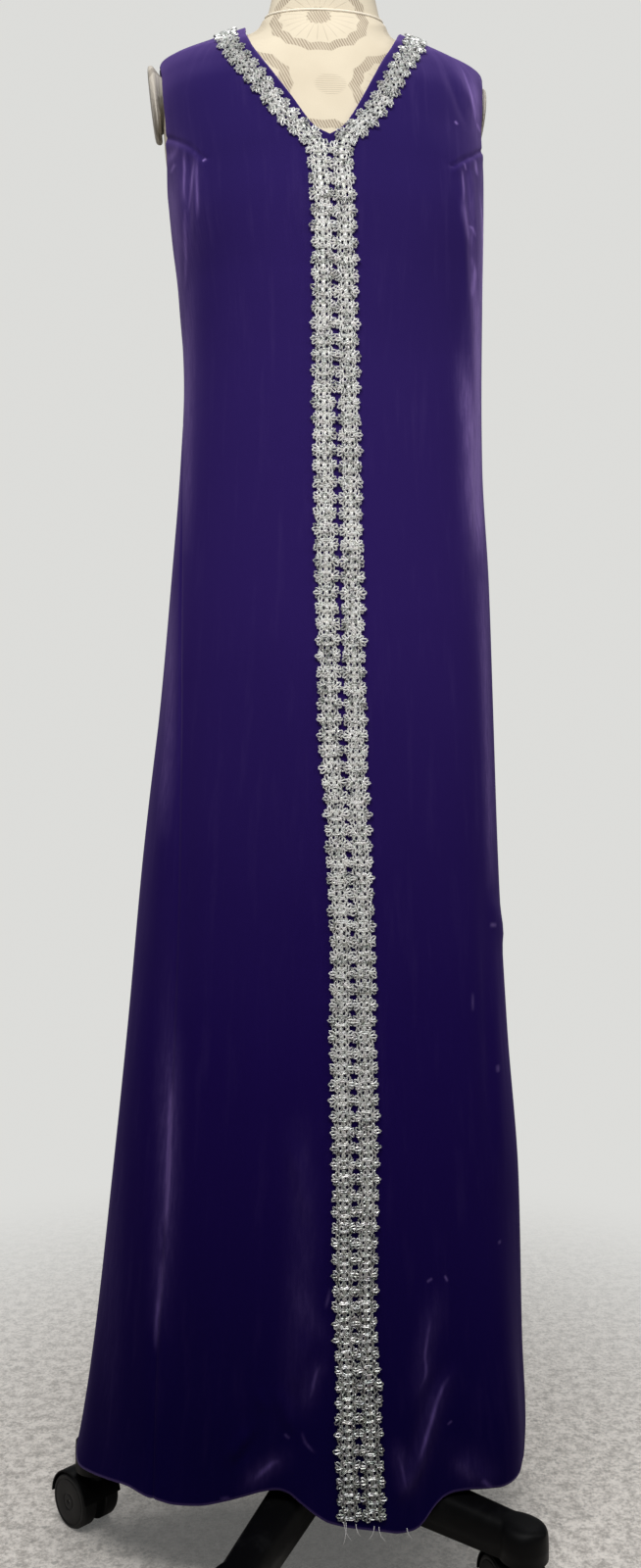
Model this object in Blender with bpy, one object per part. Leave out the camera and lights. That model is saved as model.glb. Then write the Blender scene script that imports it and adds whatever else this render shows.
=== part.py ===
"""A sleeveless velvet gown with flower braid, on a dress form with a five-leg castor base.

The form faces -Y, left and right are the viewer's, and +Z is up from the floor. Every size
below is in millimetres; MM turns it into Blender's metres where a mesh is made or placed.
"""

import math

import bmesh
import bpy
import numpy as np

MM = 0.001

# Cloth and how closely things lie
CLOTH = 2.0  # thickness of the lined velvet
SEAM_GAP = 0.4  # between two panels where they are sewn
FORM_EASE, UPPER_EASE = 1.4, 4.4  # between the gown's inside and the form, at the bust and above
SHOULDER_EASE = 0.9  # the same where the gown hangs from the shoulders
BRAID_LIFT = 0.7  # between the velvet and the back of the braid

# Levels of the gown
UNDERARM = 1300
SHOULDER_TIP = 1428
NECK_POINT = 1469
NECK_V = 1318
BACK_NECK = 1459
ARMHOLE_SCOOP = 22  # degrees round the body that each armhole is cut in

# Flower braid
FLOWER_PITCH = 14.1
FLOWER_HALF_WIDTH = 11.2
JOINT_HALF_WIDTH = 6.8
FLOWER_THICKNESS = 2.2
JOINT_THICKNESS = 1.3
NECK_ROW_INSET = 17  # middle of the back's row of braid from the neck edge, over the cloth
ROW_ABOVE_HEM = 7
SHOULDER_END = 0.8  # degrees that each length of braid stops short of the shoulder seam

# Stand
POLE_RADIUS = 14
FORM_BOTTOM = 780
HUB_RADIUS, HUB_TOP = 45, 122
LEG_COUNT = 5
FIRST_LEG = -96.4  # azimuth from the front, towards the viewer's right
LEG_TOP_INNER, LEG_TOP_OUTER = 99, 91
LEG_UNDERSIDE = 60.5
LEG_HALF_WIDTH_INNER, LEG_HALF_WIDTH_OUTER = 22, 17
STEM_CIRCLE = 222  # radius on which the castor stems stand
LEG_END_RADIUS = 22

# Castors
WHEEL_RADIUS, WHEEL_THICKNESS, WHEEL_SIDES = 26, 16, 16
AXLE_HEIGHT = WHEEL_RADIUS * math.cos(math.pi / WHEEL_SIDES)  # a flat of the rim lies on the floor
TRAIL = 20
WEB_HALF = 5
HOOD_INNER, HOOD_OUTER = 27.2, 29
STEM_RADIUS, STEM_TOP, STEM_SIDES = 5.5, 82, 10
AXLE_RADIUS = 3
RUNNING_GAP = 0.3
CASTOR_TURNS = (-48.8, 20, -75, -20, 105)  # azimuth that each castor's first wheel faces


def columns(names, *rows):
    """A table: the numbers under each name, from rows that read across."""
    return dict(zip(names.split(), np.array(rows, float).T))


def along(table, key, name, at):
    """Column `name` where column `key` is `at`: a cubic through the rows with no overshoot."""
    x, y = table[key], table[name]
    step = np.diff(x)
    rise = np.diff(y) / step
    before, after = rise[:-1], rise[1:]
    steady = before * after > 0
    mean = 2 * before * after / np.where(steady, before + after, 1)
    slope = np.concatenate([rise[:1], np.where(steady, mean, 0), rise[-1:]])
    at = np.clip(at, x[0], x[-1])
    k = np.clip(np.searchsorted(x, at) - 1, 0, len(step) - 1)
    t = (at - x[k]) / step[k]
    start = (1 + 2 * t) * (1 - t) ** 2 * y[k] + t * (1 - t) ** 2 * step[k] * slope[k]
    end = t * t * (3 - 2 * t) * y[k + 1] - t * t * (1 - t) * step[k] * slope[k + 1]
    return start + end


def ease(value, low, high):
    """0 below low, 1 above high, and a smooth S between."""
    t = np.clip((value - low) / (high - low), 0, 1)
    return t * t * (3 - 2 * t)


# Outside of the gown: half widths to each side of the pole, depths before and behind it, and
# how square each quarter is (2 is an ellipse)
GOWN = columns(
    "height left right front back left_square right_square back_square",
    (60, 247, 192, 113, 124, 2.0, 2.8, 2.1),
    (120, 234, 196, 113, 122, 2.0, 2.7, 2.1),
    (200, 222, 193, 112, 120, 2.0, 2.6, 2.1),
    (350, 205, 190, 112, 118, 2.1, 2.5, 2.1),
    (503, 189, 179, 112, 116, 2.2, 2.4, 2.2),
    (657, 175, 171, 112, 114, 2.2, 2.4, 2.2),
    (810, 158, 166, 111, 113, 2.2, 2.4, 2.2),
    (925, 148, 162, 110, 111, 2.3, 2.4, 2.2),
    (1040, 139, 155.5, 109, 99, 2.3, 2.4, 2.2),
    (1117, 135.5, 154.5, 109, 92, 2.3, 2.4, 2.2),
    (1194, 139, 154.5, 112, 95, 2.4, 2.5, 2.2),
    (1260, 147, 155, 115, 100, 2.6, 2.6, 2.3),
    (1309, 152, 156, 109, 101, 2.5, 2.5, 2.4),
    (1350, 158, 156.5, 98, 99, 2.4, 2.4, 2.4),
    (1385, 161.5, 159, 87, 95, 2.3, 2.3, 2.3),
    (1410, 162, 160, 78, 89, 2.0, 2.0, 2.1),
    (1430, 159, 157.5, 70.5, 83, 1.65, 1.65, 2.0),
    (1440, 149, 146, 66, 79, 1.4, 1.4, 2.0),
    (1450, 128, 127, 60.5, 74, 1.28, 1.28, 2.0),
    (1460, 104, 101, 55, 68, 1.2, 1.2, 2.0),
    (1469, 77, 78, 50.5, 62.5, 1.2, 1.2, 2.0),
    (1477, 64, 65, 48, 59, 1.6, 1.6, 2.0),
    (1490, 51, 51, 46, 55, 2.0, 2.0, 2.0),
)

# The gown has turned a little on the form: how far the centre front has moved to the right,
# and how far from the pole the left side seam runs once it leaves the side
TURN = columns(
    "height centre seam",
    (60, 27, 161),
    (180, 23.5, 158),
    (490, 19, 144),
    (640, 15, 139.5),
    (920, 8, 137),
    (1100, 4, 136.5),
    (1300, 1, 200),
    (1325, -3, 200),
    (1350, -3.5, 200),
    (1380, -5.5, 200),
    (1406, -7, 200),
    (1440, -5, 200),
    (1469, 0, 200),
)

# The neck opening: half its width, by height, from the bottom of its V to the shoulders
NECK_EDGE = columns(
    "height half",
    (1318, 0),
    (1323, 9),
    (1329, 15.5),
    (1339, 22),
    (1356, 31.5),
    (1375, 42),
    (1406, 58.5),
    (1421, 66),
    (1440, 72),
    (1469, 76.5),
)

# How far the middle of each row of braid is from the centre front
ROW_ASIDE = columns(
    "height aside",
    (60, 11.7),
    (1285, 11.7),
    (1300, 12.2),
    (1310, 15.5),
    (1320, 23.5),
    (1332, 34),
    (1345, 43.5),
    (1370, 58),
    (1398, 73.5),
    (1428, 87),
    (1469, 93.5),
)

# Hem above the floor between the legs, by angle round the gown
HEM = columns(
    "angle height",
    (-180, 76),
    (-110, 84),
    (-80, 90),
    (-60, 92),
    (-46, 91),
    (-35, 86),
    (-25, 85),
    (-1, 75),
    (6, 69),
    (14, 66),
    (19, 62.5),
    (25, 65),
    (34, 76),
    (52, 86),
    (66, 81),
    (90, 78),
    (180, 76),
)
HEM_OVER_LEG = 99
LEG_COVER, LEG_COVER_END, MORE_BEHIND = 12, 40, 17  # full lift this far from a leg's centre line, none from there

# Largest folds: the ridge's angle and height at its top and bottom, its half width in degrees,
# and how far it stands out of the cloth
FOLDS = columns(
    "top_angle bottom_angle top bottom half_width rise",
    (-58, -44, 520, 90, 5, 3.0),
    (27, 13, 330, 60, 6, 5.0),
    (46, 43, 360, 60, 13, 20.0),
    (-18, -6, 300, 60, 6, 2.5),
    (150, 146, 900, 60, 13, 9.0),
    (-172, -168, 940, 60, 13, 8.0),
    (-130, -128, 900, 60, 13, 9.0),
    (112, 110, 820, 60, 9, 6.0),
)
VENT_TOP, VENT_FULL, VENT_STEP = 600, 280, 5  # the back stands out at the right side seam

# Torso of the form where the gown hangs clear of it
TORSO = columns(
    "height width front back",
    (780, 136, 88, 96),
    (850, 143, 94, 104),
    (900, 144, 96, 105),
    (960, 139, 94, 98),
    (1040, 128, 88, 83),
    (1100, 122, 85, 78),
    (1160, 126, 92, 83),
    (1240, 138, 106, 92),
)
# The same for the chest and neck where the neck opening leaves them bare
CHEST = columns(
    "height width front",
    (1350, 156, 98),
    (1385, 158, 87),
    (1410, 152, 78),
    (1430, 124, 70),
    (1440, 103, 66),
    (1450, 89, 60.5),
    (1460, 79, 55.5),
    (1469, 71, 51.5),
    (1477, 62, 48.5),
    (1490, 51, 46),
)
NECK_SEAM_LEVEL, NECK_SEAM_TILT = 1477, 0.27  # the neck is joined on a plane that rises backwards


def leg_azimuth(number):
    return FIRST_LEG + number * 360 / LEG_COUNT


def heading(azimuth):
    """Unit vector on the floor at an azimuth from the front."""
    turn = math.radians(azimuth)
    return np.array([math.sin(turn), -math.cos(turn)])


def fold_rise(angle, height):
    """How far the folds lift the cloth: for each, a bell across and a smooth start at its top."""
    total = np.zeros(np.broadcast(angle, height).shape)
    for top_angle, bottom_angle, top, bottom, half_width, rise in zip(*FOLDS.values()):
        down = np.clip((top - height) / (top - bottom), 0, 1)
        across = (angle - top_angle - (bottom_angle - top_angle) * down + 180) % 360 - 180
        total += rise * ease(down, 0, 0.8) * np.exp(-((across / half_width) ** 2))
    return total


def gown_point(angle, height):
    """Outside of the gown at an angle round it and a height: a superellipse at each level.

    Angle 0 is the front, -90 the viewer's left and 180 the back.
    """
    angle, height = np.broadcast_arrays(np.asarray(angle, float), np.asarray(height, float))
    side, ahead = np.sin(np.radians(angle)), np.cos(np.radians(angle))
    level = {name: along(GOWN, "height", name, height) for name in GOWN}
    front_square = np.where(side < 0, level["left_square"], level["right_square"])
    square = np.where(ahead > 0, front_square, level["back_square"])
    width = np.where(side < 0, level["left"], level["right"])
    depth = np.where(ahead > 0, level["front"], level["back"])
    swell = (np.abs(side) ** square + np.abs(ahead) ** square) ** (-1 / square)
    x, y = side * swell, -ahead * swell
    out_x = np.sign(x) * np.abs(x) ** (square - 1) / width
    out_y = np.sign(y) * np.abs(y) ** (square - 1) / depth
    rise = fold_rise(angle, height) / np.hypot(out_x, out_y)
    return np.stack([x * width + out_x * rise, y * depth + out_y * rise, height], axis=-1)


def gown_normal(angle, height):
    """Unit vectors out of the gown: its slope round crossed with its slope upwards."""
    angle, height = np.asarray(angle, float), np.asarray(height, float)
    round_it = gown_point(angle + 0.5, height) - gown_point(angle - 0.5, height)
    upwards = gown_point(angle, height + 1) - gown_point(angle, height - 1)
    return unit(np.cross(round_it, upwards))


def unit(vectors):
    return vectors / np.linalg.norm(vectors, axis=-1, keepdims=True)


def angle_at(across, height):
    """Angle on the front of the gown at a distance across from the pole."""
    right = np.asarray(across) > 0
    level = {name: along(GOWN, "height", name, height) for name in GOWN}
    width = np.where(right, level["right"], level["left"])
    square = np.where(right, level["right_square"], level["left_square"])
    share = np.clip(np.abs(across) / width, 0, 1)
    return np.sign(across) * np.degrees(np.arctan2(share, (1 - share**square) ** (1 / square)))


def centre_angle(height):
    return angle_at(along(TURN, "height", "centre", height), height)


def seam_angle(side, height):
    """Angle of a side seam: the left one comes forward towards the hem."""
    if side > 0:
        return np.full(np.shape(height), 90.0)
    return angle_at(-along(TURN, "height", "seam", height), height)


def hem_height(angle):
    """Hem above the floor: its own level, lifted where it lies over a leg of the base."""
    angle = (np.asarray(angle, float) + 180) % 360 - 180
    level = along(HEM, "angle", "height", angle)
    spot = gown_point(angle, 90.0)[..., :2]
    for number in range(LEG_COUNT):
        way = heading(leg_azimuth(number))
        beside = np.abs(spot[..., 0] * way[1] - spot[..., 1] * way[0])
        beside = beside - MORE_BEHIND * (way[1] > 0)
        cover = np.where(spot @ way > 0, 1 - ease(beside, LEG_COVER, LEG_COVER_END), 0)
        level = level + (HEM_OVER_LEG - level) * cover
    return level


def neck_half_width(height):
    """Half the V's opening at a height."""
    return along(NECK_EDGE, "height", "half", height)


SKIRT_ROWS = 20  # the same in both panels, so that their seams run point by point
FRONT_COLUMNS, FRONT_YOKE_ROWS = 13, 11
BACK_COLUMNS, BACK_YOKE_ROWS = 12, 9
V_ROW = 1  # yoke row whose end is the bottom of the V


def skirt_grid(start_angle, end_angle, column_count):
    """Angles and heights from hem to underarm, between two functions of height.

    The rows lie closer together at both ends, where the cloth bends most.
    """
    across = np.linspace(0, 1, column_count + 1)[None, :]
    even = np.linspace(0, 1, SKIRT_ROWS)[:, None]
    share = even - 0.55 * np.sin(2 * np.pi * even) / (2 * np.pi)
    level = HEM["height"].mean() + share * (UNDERARM - HEM["height"].mean())
    start, end = start_angle(level), end_angle(level)
    angle = start + (end - start) * across
    hem = hem_height(angle[0])[None, :]
    return angle, hem + (UNDERARM - hem) * share


def armhole_edge(up, facing):
    """Angle from the side and height along an armhole, `up` from 0 to 1: half an ellipse."""
    height = UNDERARM + (SHOULDER_TIP - UNDERARM) * (1 - np.cos(np.pi * up)) / 2
    return 90 + facing * ARMHOLE_SCOOP * np.sin(np.pi * up), height


def front_half(side):
    """Angles and heights of half the front, from side seam to centre and from hem to shoulder."""
    angle, height = skirt_grid(lambda level: seam_angle(side, level), centre_angle, FRONT_COLUMNS)
    up = np.linspace(0, 1, FRONT_YOKE_ROWS + 1)[1:]
    above_v = (up - up[V_ROW]) / (1 - up[V_ROW])
    edge_height = np.where(
        above_v > 0,
        NECK_V + (NECK_POINT - NECK_V) * np.sin(np.pi / 2 * np.clip(above_v, 0, 1)),
        UNDERARM + (NECK_V - UNDERARM) * up / up[V_ROW],
    )
    centre = along(TURN, "height", "centre", edge_height)
    edge_angle = angle_at(centre + side * neck_half_width(edge_height), edge_height)
    edge_angle = np.where(above_v > 0, edge_angle, centre_angle(edge_height))
    edge_angle[-1] = side * 90
    arm_angle, arm_height = armhole_edge(up, -1)
    across = np.linspace(0, 1, FRONT_COLUMNS + 1)[None, :]
    yoke_angle = side * arm_angle[:, None] * (1 - across) + edge_angle[:, None] * across
    yoke_height = arm_height[:, None] * (1 - across) + edge_height[:, None] * across
    return np.vstack([angle, yoke_angle]), np.vstack([height, yoke_height])


def back_neck_height(angle, centre, side):
    """Level round the back of the neck, from `side` above the shoulders to `centre` behind."""
    return centre + (side - centre) * np.cos(np.radians(np.abs(angle) - 90)) ** 2


def back_half(side):
    """Angles and heights of half the back: a patch blended between its four edges above the arms."""
    angle, height = skirt_grid(
        lambda level: seam_angle(side, level),
        lambda level: np.full(np.shape(level), side * 180.0),
        BACK_COLUMNS,
    )
    up = np.linspace(0, 1, BACK_YOKE_ROWS + 1)[1:, None]
    across = np.linspace(0, 1, BACK_COLUMNS + 1)[None, :]
    neck_start = 6 / BACK_COLUMNS  # six columns along the shoulder, the rest round the neck
    round_neck = np.clip((across - neck_start) / (1 - neck_start), 0, 1)
    top_angle = 90 + 90 * round_neck
    top_height = np.where(
        across < neck_start,
        SHOULDER_TIP + (NECK_POINT - SHOULDER_TIP) * across / neck_start,
        back_neck_height(top_angle, BACK_NECK, NECK_POINT),
    )
    arm_angle, arm_height = armhole_edge(up, 1)
    base_angle = 90 + 90 * across
    yoke_angle = (1 - across) * arm_angle + across * 180 + up * (top_angle - base_angle)
    centre_height = UNDERARM + (BACK_NECK - UNDERARM) * up
    corners = (1 - up) * UNDERARM + up * ((1 - across) * SHOULDER_TIP + across * BACK_NECK)
    yoke_height = (
        (1 - across) * arm_height + across * centre_height
        + (1 - up) * UNDERARM + up * top_height - corners
    )
    return np.vstack([angle, side * yoke_angle]), np.vstack([height, yoke_height])


def cloth_walls(angle, height, side, stand_out=0.0):
    """Outer and inner grids of a half panel, drawn back from its side and shoulder seams."""
    out = gown_normal(angle, height)
    outer = gown_point(angle, height) + out * np.asarray(stand_out)[..., None]
    inner = outer - out * CLOTH
    seam = unit(outer[:, 1] - outer[:, 0]) * SEAM_GAP / 2
    seam[SKIRT_ROWS:] = 0
    shoulder = unit(outer[-2] - outer[-1]) * SEAM_GAP / 2
    for layer in (outer, inner):
        layer[:, 0] += seam
        layer[-1] += shoulder
    if side > 0:
        outer, inner = outer[:, ::-1], inner[:, ::-1]
    return outer, inner


def paint(name, colour, roughness, metallic=0.0):
    material = bpy.data.materials.new(name)
    material.use_nodes = True
    surface = material.node_tree.nodes["Principled BSDF"]
    surface.inputs["Base Color"].default_value = (*colour, 1)
    surface.inputs["Roughness"].default_value = roughness
    surface.inputs["Metallic"].default_value = metallic
    return material


def new_mesh(name, points, faces):
    """A closed mesh with its faces pointing out, from points in millimetres."""
    mesh = bpy.data.meshes.new(name)
    mesh.from_pydata((np.asarray(points) * MM).tolist(), [], [list(map(int, f)) for f in faces])
    work = bmesh.new()
    work.from_mesh(mesh)
    bmesh.ops.recalc_face_normals(work, faces=work.faces)
    work.to_mesh(mesh)
    work.free()
    mesh.shade_smooth()
    mesh.set_sharp_from_angle(angle=math.radians(35))
    return mesh


def place(name, mesh, material, location=(0, 0, 0), turn=0.0):
    """One object for one piece, held by the stand's empty; turn is about the upright."""
    piece = bpy.data.objects.new(name, mesh)
    piece.location = [value * MM for value in location]
    piece.rotation_euler[2] = math.radians(turn)
    piece.parent = stand
    if material.name not in mesh.materials:
        mesh.materials.append(material)
    bpy.context.collection.objects.link(piece)
    return piece


def cloth_mesh(name, halves):
    """A wall of cloth from pairs of outer and inner grids, welded where the grids meet."""
    outer = np.concatenate([grid.reshape(-1, 3) for grid, _ in halves])
    inner = np.concatenate([grid.reshape(-1, 3) for _, grid in halves])
    _, first, same = np.unique(np.round(outer, 3), axis=0, return_index=True, return_inverse=True)
    same = same.reshape(-1)
    outer, inner = outer[first], inner[first]
    faces, start = [], 0
    for grid, _ in halves:
        index = same[start + np.arange(grid.shape[0] * grid.shape[1])].reshape(grid.shape[:2])
        start += index.size
        corners = [index[:-1, :-1], index[:-1, 1:], index[1:, 1:], index[1:, :-1]]
        faces += np.stack(corners, axis=-1).reshape(-1, 4).tolist()
    edges = {(face[k], face[(k + 1) % 4]) for face in faces for k in range(4)}
    rim = [edge for edge in edges if edge[::-1] not in edges]
    count = len(outer)
    behind = [[corner + count for corner in face[::-1]] for face in faces]
    sides = [[b, a, a + count, b + count] for a, b in sorted(rim)]
    return new_mesh(name, np.vstack([outer, inner]), faces + behind + sides)


def ring_mesh(name, rings):
    """A closed solid through rings of equal count, with a cap at each end."""
    rings = np.asarray(rings)
    ring_count, size = rings.shape[:2]
    index = np.arange(ring_count * size).reshape(ring_count, size)
    turned = np.roll(index, -1, axis=1)
    corners = [index[:-1], turned[:-1], turned[1:], index[1:]]
    faces = np.stack(corners, axis=-1).reshape(-1, 4).tolist()
    return new_mesh(name, rings.reshape(-1, 3), faces + [index[0][::-1].tolist(), index[-1].tolist()])


def turned_rings(profile, sides, phase=0.0):
    """Rings about the upright from a profile of (radius, height)."""
    turn = np.radians(phase) + np.arange(sides) * 2 * np.pi / sides
    circle = np.stack([np.cos(turn), np.sin(turn), np.zeros(sides)], axis=-1)
    return np.array([circle * radius + (0, 0, height) for radius, height in profile])


def fuse(name, meshes, cutters=()):
    """One mesh from closed meshes that overlap, less the cutters."""
    whole = bpy.data.objects.new(name, meshes[0])
    bpy.context.collection.objects.link(whole)
    tools = []
    for mesh in [*meshes[1:], *cutters]:
        tool = bpy.data.objects.new(name + "_tool", mesh)
        tool.hide_render = True
        tool.display_type = "WIRE"
        bpy.context.collection.objects.link(tool)
        tools.append(tool)
        change = whole.modifiers.new("fuse", "BOOLEAN")
        change.operation = "DIFFERENCE" if mesh in cutters else "UNION"
        change.object = tool
    bpy.context.view_layer.update()
    view = bpy.context.evaluated_depsgraph_get()
    result = bpy.data.meshes.new_from_object(whole.evaluated_get(view))
    for spare in [whole, *tools]:
        bpy.data.objects.remove(spare)
    result.name = name
    return result


for old in list(bpy.data.objects):
    bpy.data.objects.remove(old)

# Everything hangs from one empty, which puts the middle of the whole on the origin
STAND_AT = (26.9, 0)
stand = bpy.data.objects.new("stand", None)
stand.location = (STAND_AT[0] * MM, STAND_AT[1] * MM, 0)
bpy.context.collection.objects.link(stand)

velvet = paint("purple velvet", (0.028, 0.016, 0.095), 0.8)
silver = paint("silver braid", (0.62, 0.63, 0.62), 0.35, 0.8)
cover = paint("printed cotton cover", (0.76, 0.68, 0.54), 0.85)
black = paint("black plastic", (0.012, 0.012, 0.013), 0.45)
grey = paint("dark grey plastic", (0.05, 0.05, 0.055), 0.5)
steel = paint("steel tube", (0.55, 0.56, 0.58), 0.3, 1.0)

# Gown: two panels, joined by nothing but their seams
fronts = []
backs = []
for side in (-1, 1):
    fronts.append(cloth_walls(*front_half(side), side))
    angles, heights = back_half(side)
    vent = VENT_STEP * ease(-heights, -VENT_TOP, -VENT_FULL)
    vent = vent * np.exp(-(((angles - 90) / 24) ** 2)) * (heights < VENT_TOP)
    backs.append(cloth_walls(angles, heights, -side, vent))
place("gown_front", cloth_mesh("gown_front", fronts), velvet)
place("gown_back", cloth_mesh("gown_back", backs), velvet)


def braid_rings(angle, height, lift=BRAID_LIFT):
    """Cross-sections of a braid along a path on the gown, three to each flower.

    The strip is narrow at each joint and wide and thick at each flower. A step aside is turned
    into an angle and a height by the cloth's own slopes, so all four corners follow its curve.
    """
    path = gown_point(angle, height)
    length = np.concatenate([[0], np.cumsum(np.linalg.norm(np.diff(path, axis=0), axis=1))])
    flowers = int(length[-1] // FLOWER_PITCH)
    where = np.linspace(0, length[-1], 3 * flowers + 1)
    angle, height = np.interp(where, length, angle), np.interp(where, length, height)
    ahead = unit(np.gradient(gown_point(angle, height), axis=0))
    aside = unit(np.cross(gown_normal(angle, height), ahead))
    slopes = np.stack([
        gown_point(angle + 0.5, height) - gown_point(angle - 0.5, height),
        (gown_point(angle, height + 1) - gown_point(angle, height - 1)) / 2,
    ], axis=-1)
    step = (np.linalg.pinv(slopes) @ aside[..., None])[..., 0]
    joint = np.arange(len(where)) % 3 == 0
    half = np.where(joint, JOINT_HALF_WIDTH, FLOWER_HALF_WIDTH)
    top = lift + np.where(joint, JOINT_THICKNESS, FLOWER_THICKNESS)
    corners = []
    for across, level in ((-half, lift), (half, lift), (half, top), (-half, top)):
        under = angle + step[:, 0] * across, height + step[:, 1] * across
        corners.append(gown_point(*under) + gown_normal(*under) * np.reshape(level, (-1, 1)))
    return np.stack(corners, axis=1)


def front_row_path(side):
    """Up the centre front and on beside the V."""
    top = NECK_POINT - NECK_ROW_INSET * 0.45
    share = np.linspace(0, 1, 3000)
    bottom = hem_height(centre_angle(70.0)) + ROW_ABOVE_HEM
    height = bottom + (top - bottom) * share
    offset = along(ROW_ASIDE, "height", "aside", height)
    centre = along(TURN, "height", "centre", height)
    angle = angle_at(centre + side * offset, height)
    before_shoulder = np.abs(angle) < 90 - SHOULDER_END
    return angle[before_shoulder], height[before_shoulder]


for side, name in ((-1, "braid_left"), (1, "braid_right")):
    place(name, ring_mesh(name, braid_rings(*front_row_path(side))), silver)

nape_turn = np.linspace(90 + SHOULDER_END, 270 - SHOULDER_END, 1500)
nape_level = back_neck_height(
    nape_turn, BACK_NECK - NECK_ROW_INSET * 0.9, NECK_POINT - NECK_ROW_INSET * 0.45
)
nape = braid_rings(nape_turn, nape_level, BRAID_LIFT + 0.7)
place("braid_back_neck", ring_mesh("braid_back_neck", nape), silver)


def torso_point(angle, height):
    """Outside of the form: its own levels up to the bust, then just inside the gown."""
    gap = FORM_EASE + (UPPER_EASE - FORM_EASE) * ease(height, 1330, 1400)
    from_ridge = np.abs((angle + 180) % 360 - 180) - 90
    shoulder = ease(height, 1437, 1446) * (1 - ease(height, 1456, 1464))
    gap += (SHOULDER_EASE - gap) * np.exp(-((from_ridge / 8) ** 2)) * shoulder
    inside = gown_point(angle, height) - gown_normal(angle, height) * (CLOTH + gap)[..., None]
    side, ahead = np.sin(np.radians(angle)), -np.cos(np.radians(angle))
    edge = np.abs(angle_at(neck_half_width(height), height))
    bare = (1 - ease(np.abs((angle + 180) % 360 - 180), edge - 20, edge - 6))[..., None]
    chest = np.stack([
        (along(CHEST, "height", "width", height) - CLOTH - gap) * side,
        (along(CHEST, "height", "front", height) - CLOTH - gap) * ahead,
        height + 0 * angle,
    ], axis=-1)
    inside = inside + (chest - inside) * bare
    depth = np.where(
        ahead < 0, along(TORSO, "height", "front", height), along(TORSO, "height", "back", height)
    )
    width = along(TORSO, "height", "width", height)
    free = np.stack([width * side, depth * ahead, height], axis=-1)
    blend = ease(height, 1170, 1240)[..., None]
    return free * (1 - blend) + inside * blend


FORM_SIDES = 28
form_angle = np.arange(FORM_SIDES)[None, :] * 360 / FORM_SIDES
levels = [FORM_BOTTOM, 820, 880, 945, 1020, 1095, 1150, 1200, 1245, 1290, 1335, 1375, 1405]
rows = [np.full((1, FORM_SIDES), float(level)) for level in levels]
neck_seam = np.full((1, FORM_SIDES), float(NECK_SEAM_LEVEL))
for _ in range(12):
    reached = torso_point(form_angle, neck_seam)
    neck_seam = neck_seam + NECK_SEAM_LEVEL + NECK_SEAM_TILT * reached[..., 1] - reached[..., 2]
rows += [1424 + (neck_seam - 1424) * share for share in (0, 0.2, 0.4, 0.6, 0.8, 1)]
torso = np.concatenate([torso_point(form_angle, row) for row in rows])
torso[-1, :, 2] = NECK_SEAM_LEVEL + NECK_SEAM_TILT * torso[-1, :, 1]
place("form_torso", ring_mesh("form_torso", torso), cover)

# The neck starts a thread's width inside the seam and narrows to its cap
NECK_TOP, NECK_TOP_RADIUS = 1545, 46
neck_foot = torso[-1] * (0.98, 0.98, 0)
neck_foot[:, 2] = NECK_SEAM_LEVEL + NECK_SEAM_TILT * neck_foot[:, 1] + RUNNING_GAP
neck_turn = np.radians(form_angle[0])
neck_end = np.stack([np.sin(neck_turn), -np.cos(neck_turn), np.zeros(FORM_SIDES)], axis=-1)
neck_end = neck_end * NECK_TOP_RADIUS + (0, 0, NECK_TOP)
neck_rings = []
for share in (0, 0.35, 0.7, 1):
    inwards = 1 - (1 - share) ** 1.6
    neck_rings.append(neck_foot + (neck_end - neck_foot) * (inwards, inwards, share))
place("form_neck", ring_mesh("form_neck", neck_rings), cover)

cap_bottom, cap_top = NECK_TOP + RUNNING_GAP, NECK_TOP + 10
cap_profile = [(45, cap_bottom), (47, cap_bottom + 1.5), (47, cap_top - 2), (44.5, cap_top)]
place("neck_cap", ring_mesh("neck_cap", turned_rings(cap_profile, 22)), steel)

# Oval plates close the arms: each leans out at its top, and its short neck ends at the torso's side
for side, name, rim, reach, lean, level, depth, tall in (
    (-1, "arm_plate_left", 160.5, 165.5, 4, 1392, 35, 34),
    (1, "arm_plate_right", 155.6, 157.4, 2, 1388, 33, 29),
):
    torso_side = (side * torso[..., 0]).max() + RUNNING_GAP
    sections = (
        (torso_side, 24, 31, 0), (rim - lean * 0.75, 24, 31, 0), (rim, depth - 1, tall - 1, lean * 0.75),
        (reach, depth, tall, lean), (reach + 1.5, depth - 4, tall - 4, lean),
    )
    turn = np.arange(14) * 2 * np.pi / 14
    rings = [
        np.stack(
            [side * (out + slope * np.sin(turn)), deep * np.cos(turn), level + high * np.sin(turn)], axis=-1
        )
        for out, deep, high, slope in sections
    ]
    place(name, ring_mesh(name, rings), cover)

# Pole with the flange that carries the torso
flange = FORM_BOTTOM - RUNNING_GAP
pole_profile = [(POLE_RADIUS, 66), (POLE_RADIUS, flange - 5), (40, flange - 5), (40, flange)]
place("pole", ring_mesh("pole", turned_rings(pole_profile, 20)), steel)


def leg_rings(azimuth):
    """A leg's outline at its underside, shoulder and top: tapering, with a round end."""
    way = heading(azimuth)
    across = np.array([-way[1], way[0]])
    turn = np.radians(np.linspace(-90, 90, 7))
    end = np.stack([STEM_CIRCLE + LEG_END_RADIUS * np.cos(turn), LEG_END_RADIUS * np.sin(turn)], axis=-1)
    neck = STEM_CIRCLE - LEG_END_RADIUS
    outline = np.vstack([
        [(0, -LEG_HALF_WIDTH_INNER), (neck, -LEG_HALF_WIDTH_OUTER)],
        end,
        [(neck, LEG_HALF_WIDTH_OUTER), (0, LEG_HALF_WIDTH_INNER)],
    ])
    middle = np.array([STEM_CIRCLE / 2, 0])
    top = LEG_TOP_INNER + (LEG_TOP_OUTER - LEG_TOP_INNER) * outline[:, 0] / STEM_CIRCLE
    bevel = outline * (1, 0.78) - np.where(outline[:, :1] > neck, (4, 0), (0, 0))
    rings = []
    for plan, level in ((outline, LEG_UNDERSIDE), (outline, top - 5), (bevel, top)):
        flat = plan[:, :1] * way + plan[:, 1:] * across
        rings.append(np.column_stack([flat, np.broadcast_to(level, len(flat))]))
    return rings


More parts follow.
